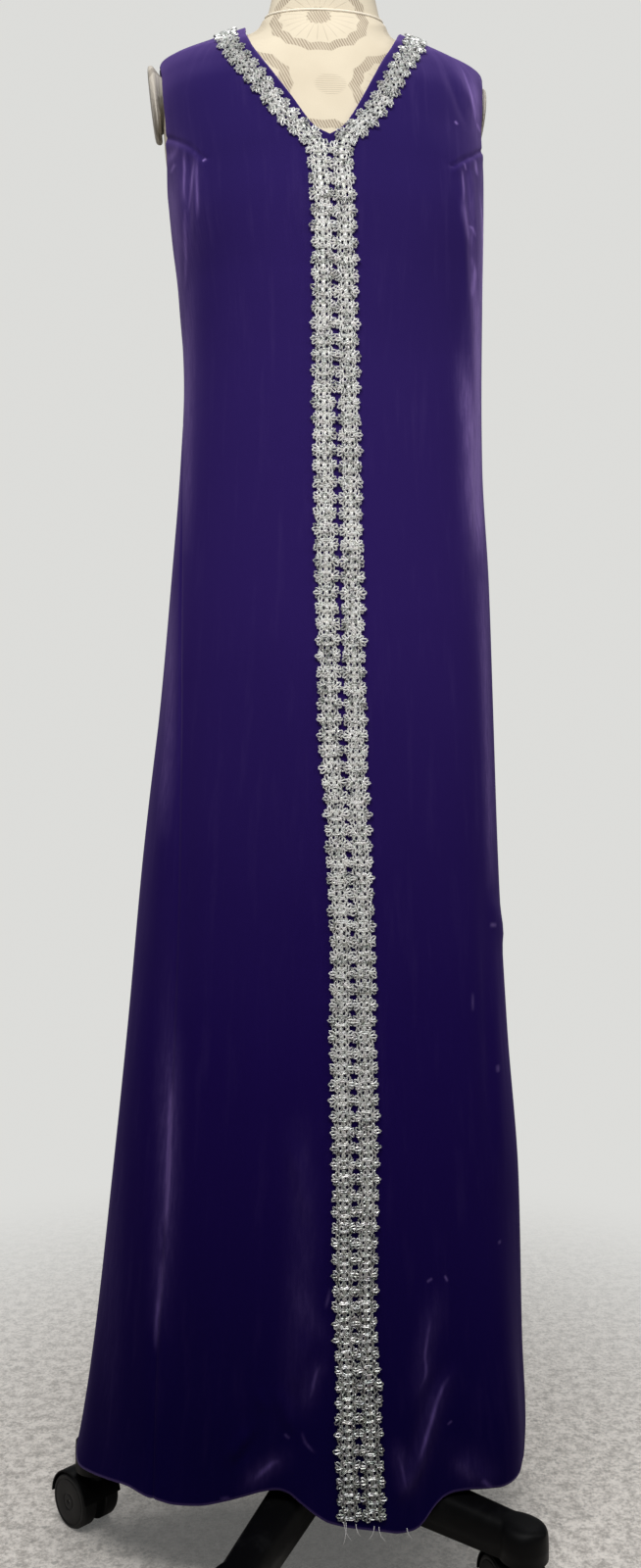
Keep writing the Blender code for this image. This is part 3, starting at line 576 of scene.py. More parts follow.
# Welt: a folded edge of the cover stands up a little where the neck's own cover is sewn on. It is a
# thin tube round the seam, half sunk into both.
WELT_RADIUS, WELT_SIDES = 1.5, 8
piping, at = new_look("cover edge")
thread = at.node("TexNoise", {"Vector": at.node("TexCoord", output="Object"), "Scale": 900, "Detail": 2})
show(at, at.node("BsdfPrincipled", {
    "Base Color": thread.between((0.70, 0.62, 0.49, 1), (0.86, 0.79, 0.66, 1)), "Roughness": 0.8,
    "Normal": at.node("Bump", {"Height": thread, "Strength": 0.4, "Distance": 0.0005}),
}))
welt_path = torso[-1] + (0, 0, 0.6)
welt_path = welt_path * (0.995, 0.995, 1)
welt_out = unit(welt_path * (1, 1, 0))
welt = tube(welt_path, welt_out, WELT_RADIUS, WELT_SIDES)
welt_piece = new_piece(
    "neck_welt", welt.reshape(-1, 3), closed_tube_faces(*welt.shape[:2]), "stand_and_gown", None, [piping]
)


def turned(profile, sides=64):
    """Circles about the upright, one for each (radius, height) of a profile, from the bottom up."""
    turn = np.arange(sides) * 2 * np.pi / sides
    radius, height = np.array(profile, float).T[:, :, None]
    return np.stack([radius * np.cos(turn), radius * np.sin(turn), height + 0 * turn], axis=-1)


def rounded(corners, radius, steps=5):
    """A profile whose inner corners are short curves: from `radius` before each to `radius` after
    it, drawn in towards the corner by a quadratic."""
    corners = np.array(corners, float)
    t = np.linspace(0, 1, steps)[:, None]
    parts = [corners[:1]]
    for before, corner, after in zip(corners[:-2], corners[1:-1], corners[2:]):
        start = corner + unit(before - corner) * min(radius, np.linalg.norm(before - corner) / 2)
        end = corner + unit(after - corner) * min(radius, np.linalg.norm(after - corner) / 2)
        parts.append((1 - t) ** 2 * start + 2 * t * (1 - t) * corner + t**2 * end)
    return np.vstack([*parts, corners[-1:]])


# Oval plates close the arms, padded a little and covered in the same print. Each leans out at its
# top, and the short neck behind it goes into the side of the torso. By side: the rim's and the
# face's distance from the pole, the lean, the middle's height, and half the depth and the height.
ARM_PLATES = (
    (-1, "arm_plate_left", 160.5, 165.5, 4, 1392, 35, 34),
    (1, "arm_plate_right", 153.4, 154.8, 2, 1388, 33, 29),
)
PLATE_SIDES, PLATE_NECK = 96, 0.70  # the neck's share of the plate's size
for side, name, rim, reach, lean, level, depth, tall in ARM_PLATES:
    torso_side = (side * torso[..., 0]).max() + RUNNING_GAP
    share_of_plate = rounded([
        (PLATE_NECK, torso_side - 8), (PLATE_NECK, rim - lean * 0.75), (1, rim), (1, reach),
        (0.9, reach + 1.5), (0.55, reach + 2), (0.01, reach + 2.2),
    ], 3, 7)
    turn = np.arange(PLATE_SIDES) * 2 * np.pi / PLATE_SIDES
    size, out = share_of_plate[:, :1], share_of_plate[:, 1:]
    towards_rim = ease(size, PLATE_NECK, 0.95)
    slope = lean * towards_rim + lean * (out > reach) * (1 - towards_rim)
    plate = np.stack([
        side * (out + slope * size * np.sin(turn)),
        side * size * depth * np.cos(turn),
        level + size * tall * np.sin(turn),
    ], axis=-1)
    plate_map = np.stack([
        plate[..., 1] + 3 * out + 0 * turn, plate[..., 2] + 0.5 * out, np.zeros(plate.shape[:2])
    ], axis=-1) * MM
    plate_piece = new_piece(
        name + "_cover", plate.reshape(-1, 3), ring_faces(*plate.shape[:2]), "stand_and_gown",
        plate_map, [plate_cover_in_painted_shade],
    )
    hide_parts(name)

# Steel: a turned cap with a small dimple closes the neck, and a tube that ends in a flange carries
# the torso. Both are brushed round, so their lines lie level.
steel, at = new_look("brushed steel")
brush_place = at.node("Mapping", {"Vector": at.node("TexCoord", output="Object"), "Scale": (1, 1, 60)})
brush_lines = at.node("TexNoise", {"Vector": brush_place, "Scale": 60, "Detail": 4, "Roughness": 0.7})
show(at, at.node("BsdfPrincipled", {
    "Base Color": brush_lines.between((0.40, 0.40, 0.41, 1), (0.66, 0.67, 0.68, 1)),
    "Metallic": 1.0,
    "Roughness": 0.26 + brush_lines * 0.2,
    "Normal": at.node("Bump", {"Height": brush_lines, "Strength": 0.1, "Distance": 0.0002}),
}))
cap_bottom, cap_top, flange = NECK_TOP + RUNNING_GAP, NECK_TOP + 10, FORM_BOTTOM - RUNNING_GAP
POLE_RADIUS, POLE_BOTTOM, FLANGE_RADIUS = 14, 66, 40
cap_profile = rounded([
    (0.01, cap_bottom), (45, cap_bottom), (47, cap_bottom + 1.5), (47, cap_top - 2),
    (44.5, cap_top), (7, cap_top), (6, cap_top - 1.2), (0.01, cap_top - 1.2),
], 1.2)
pole_profile = rounded([
    (0.01, POLE_BOTTOM), (POLE_RADIUS, POLE_BOTTOM), (POLE_RADIUS, flange - 5),
    (FLANGE_RADIUS, flange - 5), (FLANGE_RADIUS, flange), (0.01, flange),
], 1.0)
for name, profile, node in (("neck_lid", cap_profile, "neck_cap"), ("steel_pole", pole_profile, "pole")):
    rings = turned(profile)
    faces = ring_faces(*rings.shape[:2])
    piece = new_piece(name, rings.reshape(-1, 3), faces, "stand_and_gown", None, [steel])
    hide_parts(node)

# Base: one moulding of black plastic with five legs that taper outwards from a round hub, with
# soft edges and round ends. It takes the pole in its middle and a castor's stem in each end.
FIRST_LEG, LEG_COUNT, STEM_CIRCLE = -96.4, 5, 222
HUB_RADIUS, HUB_BORE, HUB_TOP = 45, 14.3, 122
LEG_TOP, LEG_FALL, LEG_UNDERSIDE = 99, 8, 60.5  # the top falls by this much out to the stem
LEG_HALF, LEG_TAPER, TAPER_END, LEG_END_RADIUS = 22, 5, 200, 22
black, at = new_look("black plastic")
black_place = at.node("TexCoord", output="Object")
grain = at.node("TexNoise", {"Vector": black_place, "Scale": 1500, "Detail": 2})
scuffs = at.node("TexNoise", {"Vector": black_place, "Scale": 30, "Detail": 5, "Roughness": 0.7})
show(at, at.node("BsdfPrincipled", {
    "Base Color": scuffs.step(0.5, 0.75).between((0.002, 0.002, 0.0022, 1), (0.007, 0.007, 0.0075, 1)),
    "Roughness": 0.36 + scuffs * 0.25,
    "Specular IOR Level": 0.1,
    "Normal": at.node("Bump", {"Height": grain, "Strength": 0.2, "Distance": 0.0003}),
}))


def leg_surface(azimuth):
    """Arches along a leg: at each distance out, a squared arch from the underside over the top and
    down again, as wide as the taper or as the end's circle, whichever is wider."""
    round_end = STEM_CIRCLE + LEG_END_RADIUS * np.sin(np.linspace(-1.4, np.pi / 2, 30))
    out = np.unique(np.concatenate([np.linspace(0, TAPER_END, 26), round_end]))[:, None]
    taper = LEG_HALF - LEG_TAPER * out / TAPER_END
    circle = np.sqrt(np.clip(LEG_END_RADIUS**2 - (out - STEM_CIRCLE) ** 2, 0.05, None))
    half = np.where(out > STEM_CIRCLE, circle, np.maximum(taper * (out < 212), circle))
    half = np.where(out < TAPER_END, taper, half)
    top = LEG_TOP - LEG_FALL * out / STEM_CIRCLE - 4 * np.clip((out - 225) / 19, 0, 1) ** 4
    turn = np.linspace(-np.pi / 2, np.pi / 2, 25)
    across = half * np.sign(np.sin(turn)) * np.abs(np.sin(turn)) ** 0.62
    up = LEG_UNDERSIDE + (top - LEG_UNDERSIDE) * np.abs(np.cos(turn)) ** 0.42
    way = np.array([math.sin(math.radians(azimuth)), -math.cos(math.radians(azimuth))])
    return np.stack([out * way[0] - across * way[1], out * way[1] + across * way[0], up], axis=-1)


def joined(parts):
    """Points and faces of several closed shells as one mesh, from pairs of rings and whether their
    order is turned round, which turns their faces outwards."""
    points, faces, start = [], [], 0
    for rings, flip in parts:
        if flip:
            rings = rings[::-1]
        points.append(rings.reshape(-1, 3))
        faces += ring_faces(*rings.shape[:2], start=start)
        start += points[-1].shape[0]
    return np.vstack(points), faces


hub = turned(rounded([
    (HUB_BORE, 62), (HUB_RADIUS, 60), (HUB_RADIUS, 104), (34, 118), (30, HUB_TOP), (HUB_BORE, HUB_TOP),
], 5, 8))
legs = [(leg_surface(FIRST_LEG + number * 360 / LEG_COUNT), True) for number in range(LEG_COUNT)]
base_piece = new_piece("leg_star", *joined([(hub, False), *legs]), "stand_and_gown", None, [black])
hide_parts("base_star")

# Castors: twin wheels under a curved hood, with a steel pin as axle and a stem that turns in the
# leg's end. Each wheel's outer face is a disc with two shallow grooves and a dimple. A castor is
# made at the pole, trailing to the left, then turned and moved out to its leg.
WHEEL_RADIUS, WHEEL_THICKNESS, TRAIL, WEB_HALF = 26, 16, 20, 5
AXLE_HEIGHT = WHEEL_RADIUS * math.cos(math.pi / 16)  # the solid wheel stands on one of 16 flats
AXLE_RADIUS, AXLE_HALF = 3, 14
HOOD_INNER, HOOD_OUTER, HOOD_HALF = 27.25, 29, 21.3
HOOD_ENDS = (178, 12)  # degrees round the axle, from the trailing side over to the leading one
WEB_UPPER, WEB_LOWER = 27.8, 10.0  # reach of the plate between the wheels, above and below the axle
STEM_RADIUS, STEM_BOTTOM, STEM_TOP = 5.5, 48, 82
BOSS_RADIUS, BOSS_TOP = 8.5, 58
CASTOR_TURNS = (-48.8, 20, -75, -20, 105)  # azimuth that each castor's first wheel faces
tyre, at = new_look("wheel plastic")
tyre_place = at.node("TexCoord", output="Object")
dust = at.node("TexNoise", {"Vector": tyre_place, "Scale": 70, "Detail": 4, "Roughness": 0.65})
fine = at.node("TexNoise", {"Vector": tyre_place, "Scale": 1800, "Detail": 1})
show(at, at.node("BsdfPrincipled", {
    "Base Color": dust.step(0.45, 0.8).between((0.005, 0.005, 0.0055, 1), (0.02, 0.0195, 0.019, 1)),
    "Roughness": 0.45 + dust * 0.2,
    "Specular IOR Level": 0.25,
    "Normal": at.node("Bump", {"Height": fine, "Strength": 0.2, "Distance": 0.0002}),
}))
# radius and distance out from the wheel's inner face: the bore, that face, the tread, then the disc
wheel_profile = rounded([
    (3.3, 10), (3.3, 0), (WHEEL_RADIUS - 1, 0), (WHEEL_RADIUS, 1), (WHEEL_RADIUS, 13), (24.4, 15.7),
    (22.4, WHEEL_THICKNESS), (21.9, 15.3), (21.1, 15.3), (20.6, 15.9), (8.2, WHEEL_THICKNESS),
    (7.7, 15.4), (6.9, 15.4), (6.4, 15.9), (2.0, WHEEL_THICKNESS), (1.2, 14.6), (0.01, 14.4),
], 0.35, 3)
wheel_rings = turned(wheel_profile, 56)
hood_turn = np.radians(np.linspace(*HOOD_ENDS, 48))
hood_edge = rounded([
    (-HOOD_HALF, HOOD_INNER), (-HOOD_HALF, HOOD_OUTER), (HOOD_HALF, HOOD_OUTER),
    (HOOD_HALF, HOOD_INNER), (-HOOD_HALF, HOOD_INNER),
], 0.7, 4)
hood_band = np.stack([
    np.cos(hood_turn)[:, None] * hood_edge[:, 1] - TRAIL,
    hood_edge[:, 0] + 0 * hood_turn[:, None],
    np.sin(hood_turn)[:, None] * hood_edge[:, 1] + AXLE_HEIGHT,
], axis=-1)
web_turn = np.radians(np.concatenate([np.linspace(*HOOD_ENDS[::-1], 40), np.linspace(200, 340, 12)]))
web_reach = np.where(web_turn < np.pi, WEB_UPPER, WEB_LOWER)
web_across = np.array([-WEB_HALF, -WEB_HALF + 0.1, WEB_HALF - 0.1, WEB_HALF])[:, None]
web = np.stack([
    np.cos(web_turn) * web_reach - TRAIL + 0 * web_across,
    web_across + 0 * web_turn,
    np.sin(web_turn) * web_reach + AXLE_HEIGHT + 0 * web_across,
], axis=-1)


def rod(radius, bottom, top, soft):
    """An upright rod of 32 sides with softened edges."""
    return turned(rounded([(0.01, bottom), (radius, bottom), (radius, top), (0.01, top)], soft), 32)


boss = rod(BOSS_RADIUS, AXLE_HEIGHT + 25, BOSS_TOP, 1.2)
stem = rod(STEM_RADIUS, STEM_BOTTOM, STEM_TOP, 0.8)
pin = turned([
    (0.01, -AXLE_HALF), (AXLE_RADIUS, -AXLE_HALF), (AXLE_RADIUS, AXLE_HALF), (0.01, AXLE_HALF),
], 24)[..., [0, 2, 1]] + (-TRAIL, 0, AXLE_HEIGHT)
hood_parts = [(hood_band, True), (web, True), (boss, False), (stem, False), (pin, True)]
for number in range(LEG_COUNT):
    azimuth = math.radians(FIRST_LEG + number * 360 / LEG_COUNT)
    stem_at = np.array([math.sin(azimuth) * STEM_CIRCLE, -math.cos(azimuth) * STEM_CIRCLE, 0])
    spin = math.radians(CASTOR_TURNS[number])
    cos, sin = math.cos(spin), math.sin(spin)
    swivel = np.array([[cos, sin, 0], [-sin, cos, 0], [0, 0, 1]])
    label = f"castor_{number + 1}"
    placed = [(rings @ swivel + stem_at, flip) for rings, flip in hood_parts]
    hood_piece = new_piece(label + "_fork", *joined(placed), label, None, [black])
    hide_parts(label + "_hood")
    for letter, outwards in (("a", -1), ("b", 1)):
        wheel = np.stack([
            wheel_rings[..., 1] - TRAIL,
            outwards * (WEB_HALF + RUNNING_GAP + wheel_rings[..., 2]),
            wheel_rings[..., 0] + AXLE_HEIGHT,
        ], axis=-1) @ swivel + stem_at
        node = f"{label}_wheel_{letter}"
        points, faces = joined([(wheel, outwards < 0)])
        # steel shows in the dimple: the innermost ring of faces and its cap, which come first on a
        # wheel whose rings are turned round and last on the other
        sides = wheel.shape[1]
        is_pin = np.zeros(len(faces))
        is_pin[:sides] = is_pin[-2] = outwards < 0
        is_pin[-2 - sides:-2] = is_pin[-1] = outwards > 0
        wheel_piece = new_piece(node + "_disc", points, faces, node, None, [tyre, steel], is_pin)
        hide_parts(node)

# Gown: a front and a back of lined cotton velvet, sewn to each other at the shoulders and down
# the sides, with a dart from each armhole to the bust. It hangs from the shoulders and has
# turned a little on the form, so the left side seam comes forward and the centre moves right.
UNDERARM, SHOULDER_TIP, NECK_POINT, NECK_V, BACK_NECK = 1300, 1428, 1469, 1318, 1459
ARMHOLE_SCOOP = 22  # degrees round the body that each armhole is cut in
SEAM_GAP = 0.4

# How far to the right the centre front lies, and how far to the left the left side seam does
TURN = columns(
    "height centre seam",
    (60, 27, 161),
    (180, 23.5, 158),
    (490, 19, 144),
    (640, 15, 139.5),
    (920, 8, 137),
    (1100, 4, 136.5),
    (1300, 1, 200),
    (1325, -3, 200),
    (1350, -3.5, 200),
    (1380, -5.5, 200),
    (1406, -7, 200),
    (1440, -5, 200),
    (1469, 0, 200),
)

# The hem's own level round the gown: it is lifted where it lies on the base's front legs
HEM = columns(
    "angle height",
    (-180, 76), (-110, 84), (-83, 88), (-67, 91.4), (-51.5, 93.6), (-42, 88.6), (-36, 85),
    (-30, 86.6), (-24.4, 91.8), (-18.8, 98.8), (-15.4, 103.4), (-12, 106), (-9.9, 104.2),
    (-6.5, 93.6), (-3, 81.8), (-0.5, 75.4), (6, 69.8), (12.5, 68), (18.2, 63.8), (21.5, 64.8),
    (24, 73), (26, 84), (28.4, 93), (31, 97.5), (35.7, 99.5), (39.4, 99.5), (43, 98), (52, 98),
    (66, 90), (90, 80), (180, 76),
)
HEM_OVER_LEG = 99
LEG_COVER, LEG_COVER_END, MORE_BEHIND = 12, 40, 17  # full lift this far from a leg's centre line
VENT_TOP, VENT_FULL, VENT_STEP, VENT_ROUND = 600, 280, 5, 24  # the back stands out at the right seam


def centre_angle(height):
    """Angle of the centre front at a height."""
    return angle_at(along(TURN, "height", "centre", height), height)


def seam_angle(side, height):
    """Angle of a side seam: the left one comes forward towards the hem."""
    if side > 0:
        return np.full(np.shape(height), 90.0)
    return angle_at(-along(TURN, "height", "seam", height), height)


def hem_height(angle):
    """Hem above the floor: its own level, which rises over the two front legs of the base, lifted
    again where it lies over the other three."""
    angle = (np.asarray(angle, float) + 180) % 360 - 180
    level = along(HEM, "angle", "height", angle)
    spot = gown_point(angle, 90.0)[..., :2]
    for number in (0, 3, 4):
        azimuth = math.radians(FIRST_LEG + number * 360 / LEG_COUNT)
        way = np.array([math.sin(azimuth), -math.cos(azimuth)])
        beside = np.abs(spot[..., 0] * way[1] - spot[..., 1] * way[0])
        beside = beside - MORE_BEHIND * (way[1] > 0)
        cover = np.where(spot @ way > 0, 1 - ease(beside, LEG_COVER, LEG_COVER_END), 0)
        level = level + (HEM_OVER_LEG - level) * cover
    return level


# Creases, each drawn on the front by distance across from the pole and height, or elsewhere by
# angle and height, from its top down: half width and rise in millimetres, troughs below zero
FRONT_CREASES = (
    (6, 4.0, (109, 203), (94, 182), (86, 152), (80, 136), (72, 115), (61, 100)),
    (5, -2.6, (100, 204), (85, 170), (77, 141), (66, 116)),
    (5, 2.2, (91, 262), (84, 227), (85, 210), (75, 180)),
    (6, 1.5, (116, 126), (142, 102)),
    (6, 2.0, (-38, 416), (-30, 389), (-22, 346)),
    (6, 2.0, (-25, 240), (-35, 193)),
    (5, 1.6, (-67, 192), (-60, 175)),
    (6, 2.2, (-49, 193), (-35, 158)),
    (6, 3.4, (-75, 157), (-91, 130)),
    (5, -2.0, (-68, 156), (-82, 127)),
    (6, 1.3, (-139, 1312), (-134, 1242), (-137, 1167)),
    (3, 0.9, (-123, 1308), (-123, 1236)),
    (3, -0.9, (-128, 1310), (-128, 1235)),
    (3, 0.7, (-117, 1300), (-116, 1250)),
    (12, 1.9, (-150, 770), (-158, 554)),
    (10, -1.5, (-131, 824), (-134, 556), (-140, 334)),
    (6, 1.6, (121, 1305), (128, 1190), (139, 1085)),
    (4, 1.2, (133, 1316), (139, 1230)),
    (4, -1.2, (127, 1313), (133, 1192)),
    (8, -1.3, (140, 1120), (143, 1040), (140, 960)),
    (7, 1.2, (128, 1090), (132, 1010), (128, 930)),
    (7, 2.4, (153, 618), (164, 603), (171, 582)),
    (10, 1.6, (155, 550), (160, 458), (165, 366)),
    (9, -1.4, (146, 642), (149, 506), (149, 371)),
    (14, 1.3, (-68, 560), (-74, 428), (-87, 296)),
    (13, -1.3, (72, 558), (81, 424), (86, 310)),
    (5, 1.2, (121, 1413), (131, 1388), (144, 1364)),
    (5, -1.1, (112, 1402), (121, 1377), (130, 1352)),
    (9, 1.3, (-100, 295), (-109, 206), (-117, 136)),
    (10, -1.3, (-130, 248), (-137, 177), (-148, 115)),
)
ROUND_CREASES = (
    (8, 1.8, (132, 1230), (134, 1120), (136, 1010)),
    (9, -1.6, (150, 1200), (152, 1090), (150, 980)),
    (8, 1.6, (-140, 1240), (-142, 1110), (-140, 1000)),
    (9, -1.4, (-158, 1210), (-160, 1100), (-163, 980)),
    (10, 2.0, (172, 1180), (170, 1060), (166, 900)),
    (10, 2.4, (140, 420), (137, 300), (138, 160)),
    (9, -2.0, (160, 520), (158, 380), (159, 200)),
    (9, 2.2, (-150, 500), (-147, 340), (-146, 150)),
    (10, -2.2, (-112, 560), (-114, 380), (-113, 180)),
    (8, 1.8, (100, 520), (102, 380), (104, 180)),
    (8, -1.6, (124, 300), (121, 210), (120, 110)),
    (9, 1.8, (-98, 420), (-100, 290), (-101, 140)),
    (7, 1.5, (-175, 330), (-171, 220), (-170, 110)),
)
CREASE_MM_PER_DEGREE = 2.3  # round the sides and the back
ROUND_LINES = [
    (half_width, rise, *((angle % 360 * CREASE_MM_PER_DEGREE, height) for angle, height in points))
    for half_width, rise, *points in ROUND_CREASES
]


def drawn_lines(lines, across, height):
    """Soft lines on a flat map: for each, its strength times a bell across it that fades at its
    ends. A line is its half width, its strength and the points that it runs through."""
    total = np.zeros(np.shape(height))
    for half_width, strength, *points in lines:
        points = np.array(points, float)
        steps = np.linalg.norm(np.diff(points, axis=0), axis=1)
        reach = np.concatenate([[0], np.cumsum(steps)]) / steps.sum()
        nearest = np.full(np.shape(height), 1e9)
        share = np.zeros(np.shape(height))
        for k, step in enumerate(steps):
            way = (points[k + 1] - points[k]) / step
            aside, above = across - points[k, 0], height - points[k, 1]
            run = np.clip(aside * way[0] + above * way[1], 0, step)
            gap = np.hypot(aside - way[0] * run, above - way[1] * run)
            closer = gap < nearest
            nearest = np.where(closer, gap, nearest)
            share = np.where(closer, reach[k] + (reach[k + 1] - reach[k]) * run / step, share)
        fade = ease(share, -0.15, 0.3) * ease(1 - share, -0.15, 0.3)
        total += strength * np.exp(-((nearest / half_width) ** 2)) * fade
    return total


def crease_rise(angle, height):
    """How far the creases lift the cloth: those in front by distance across, the rest by angle."""
    in_front = np.abs((np.asarray(angle) + 180) % 360 - 180) < 95
    front = drawn_lines(FRONT_CREASES, gown_point(angle, height)[..., 0], height)
    return front * in_front + drawn_lines(ROUND_LINES, angle % 360 * CREASE_MM_PER_DEGREE, height)


# Darts: from each armhole to the bust, a sewn line with the cloth drawn in under it, by distance
# across from the pole and height
DARTS = (
    (-1, ((-160, 1352), (-141, 1332), (-127, 1318), (-115, 1302))),
    (1, ((154, 1346), (136, 1324), (123, 1312), (113, 1302))),
)
GROOVE, GROOVE_HALF = 1.7, 1.9
SWELL, SWELL_HALF, SWELL_BELOW = 0.7, 5, 6


def dart_rise(angle, height):
    """A groove along each dart's line, with a soft swell under it that fades from the bust."""
    spot = gown_point(angle, height)
    total = np.zeros(np.shape(angle))
    ahead = np.cos(np.radians(angle)) > 0
    for side, line in DARTS:
        line = np.array(line, float)
        order = np.argsort(line[:, 0])
        level = np.interp(spot[..., 0], line[order, 0], line[order, 1])
        inner, outer = min(abs(line[:, 0])), max(abs(line[:, 0]))
        reach = np.abs(spot[..., 0])
        on_it = ease(reach, inner - 6, inner + 4) * (spot[..., 0] * side > 0) * ahead
        below = height - level
        total -= GROOVE * np.exp(-((below / GROOVE_HALF) ** 2)) * on_it
        total += SWELL * np.exp(-(((below + SWELL_BELOW) / SWELL_HALF) ** 2)) * on_it
    return total


def lumps(angle, height):
    """Slow unevenness of hanging cloth: a few long waves that run mostly downwards."""
    a, h = np.radians(angle), height / 100
    waves = np.sin(5 * a + 0.31 * h + 0.4) + 0.8 * np.sin(9 * a - 0.23 * h + 2.1)
    waves += 0.6 * np.sin(14 * a + 0.45 * h + 1.3) + 0.5 * np.sin(3 * a + 0.9 * h)
    return 0.38 * waves * ease(1290 - height, 0, 500) * (0.5 + 0.5 * ease(900 - height, 0, 600))


def cloth_point(angle, height):
    """Outside of the gown with its creases, darts and unevenness."""
    rise = crease_rise(angle, height) + dart_rise(angle, height) + lumps(angle, height)
    return gown_point(angle, height) + gown_normal(angle, height) * rise[..., None]


SKIRT_ROWS, YOKE_ROWS, PANEL_COLUMNS = 190, 84, 82
EVEN = np.linspace(0, 1, PANEL_COLUMNS + 1)[None, :]
PANEL_ACROSS = EVEN * (0.45 + 0.55 * EVEN)  # from the side seam to the middle, closer at the seam
V_ROW = 8  # yoke row whose end is the bottom of the V
CLOSER_ROWS = 0.55  # how much closer the skirt's rows lie at its hem and underarm than evenly


def skirt_grid(start_angle, end_angle):
    """Angles and heights from hem to underarm, between two functions of height."""
    even = np.linspace(0, 1, SKIRT_ROWS)[:, None]
    share = even - CLOSER_ROWS * np.sin(2 * np.pi * even) / (2 * np.pi)
    level = HEM["height"].mean() + share * (UNDERARM - HEM["height"].mean())
    start, end = start_angle(level), end_angle(level)
    angle = start + (end - start) * PANEL_ACROSS
    hem = hem_height(angle[0])[None, :]
    return angle, hem + (UNDERARM - hem) * share


def armhole_edge(up, facing):
    """Angle from the side and height along an armhole, `up` from 0 to 1: half an ellipse."""
    height = UNDERARM + (SHOULDER_TIP - UNDERARM) * (1 - np.cos(np.pi * up)) / 2
    return 90 + facing * ARMHOLE_SCOOP * np.sin(np.pi * up), height


def front_half(side):
    """Angles and heights of half the front, from side seam to centre and from hem to shoulder."""
    angle, height = skirt_grid(lambda level: seam_angle(side, level), centre_angle)
    up = np.linspace(0, 1, YOKE_ROWS + 1)[1:]
    above_v = (up - up[V_ROW]) / (1 - up[V_ROW])
    edge_height = np.where(
        above_v > 0,
        NECK_V + (NECK_POINT - NECK_V) * np.sin(np.pi / 2 * np.clip(above_v, 0, 1)),
        UNDERARM + (NECK_V - UNDERARM) * up / up[V_ROW],
    )
    centre = along(TURN, "height", "centre", edge_height)
    edge_angle = angle_at(centre + side * neck_half_width(edge_height), edge_height)
    edge_angle = np.where(above_v > 0, edge_angle, centre_angle(edge_height))
    edge_angle[-1] = side * 90
    arm_angle, arm_height = armhole_edge(up, -1)
    across = PANEL_ACROSS
    yoke_angle = side * arm_angle[:, None] * (1 - across) + edge_angle[:, None] * across
    yoke_height = arm_height[:, None] * (1 - across) + edge_height[:, None] * across
    return np.vstack([angle, yoke_angle]), np.vstack([height, yoke_height])


def back_neck_height(angle, centre, side):
    """Level round the back of the neck, from `side` above the shoulders to `centre` behind."""
    return centre + (side - centre) * np.cos(np.radians(np.abs(angle) - 90)) ** 2


def back_half(side):
    """Angles and heights of half the back: a patch blended between its four edges above the arms."""
    angle, height = skirt_grid(
        lambda level: seam_angle(side, level),
        lambda level: np.full(np.shape(level), side * 180.0),
    )
    up = np.linspace(0, 1, YOKE_ROWS + 1)[1:, None]
    across = PANEL_ACROSS
    neck_start = across[0, PANEL_COLUMNS // 2]  # half the columns are along the shoulder
    round_neck = np.clip((across - neck_start) / (1 - neck_start), 0, 1)
    top_angle = 90 + 90 * round_neck
    top_height = np.where(
        across < neck_start,
        SHOULDER_TIP + (NECK_POINT - SHOULDER_TIP) * across / neck_start,
        back_neck_height(top_angle, BACK_NECK, NECK_POINT),
    )
    arm_angle, arm_height = armhole_edge(up, 1)
    base_angle = 90 + 90 * across
    yoke_angle = (1 - across) * arm_angle + across * 180 + up * (top_angle - base_angle)
    centre_height = UNDERARM + (BACK_NECK - UNDERARM) * up
    corners = (1 - up) * UNDERARM + up * ((1 - across) * SHOULDER_TIP + across * BACK_NECK)
    yoke_height = (
        (1 - across) * arm_height + across * centre_height
        + (1 - up) * UNDERARM + up * top_height - corners
    )
    return np.vstack([angle, side * yoke_angle]), np.vstack([height, yoke_height])


SEAM_ROLL, SEAM_ROLL_HALF = 1.3, 2.0  # how far the cloth turns in at a side seam, and how near it
SHOULDER_ROLL, SHOULDER_ROLL_HALF = 0.8, 2.6
OFF_FORM = 0.3  # the wall that shows is this much thinner, so its lining stays off the form
EDGE_SHARE = 0.35  # of the cloth's thickness, by which an edge's middle stands out


def cloth_walls(angle, height, side, stand_out=0.0):
    """Outer and inner grids of a half panel, drawn back from its side and shoulder seams and
    rolled in a little there, with a map of angle and height beside them."""
    out = gown_normal(angle, height)
    outer = cloth_point(angle, height) + out * np.asarray(stand_out)[..., None]
    from_seam = np.linalg.norm(outer - outer[:, :1], axis=-1)
    roll = SEAM_ROLL * np.exp(-((from_seam / SEAM_ROLL_HALF) ** 2))
    roll[SKIRT_ROWS:] = 0
    from_shoulder = np.linalg.norm(outer - outer[-1:], axis=-1)
    roll = roll + SHOULDER_ROLL * np.exp(-((from_shoulder / SHOULDER_ROLL_HALF) ** 2))
    outer = outer - out * roll[..., None]
    inner = outer - out * (CLOTH - OFF_FORM)
    seam = unit(outer[:, 1] - outer[:, 0]) * SEAM_GAP / 2
    seam[SKIRT_ROWS:] = 0
    shoulder = unit(outer[-2] - outer[-1]) * SEAM_GAP / 2
    for layer in (outer, inner):
        layer[:, 0] += seam
        layer[-1] += shoulder
    drawn = np.stack([angle, height], axis=-1)
    if side > 0:
        outer, inner, drawn = outer[:, ::-1], inner[:, ::-1], drawn[:, ::-1]
    return outer, inner, drawn


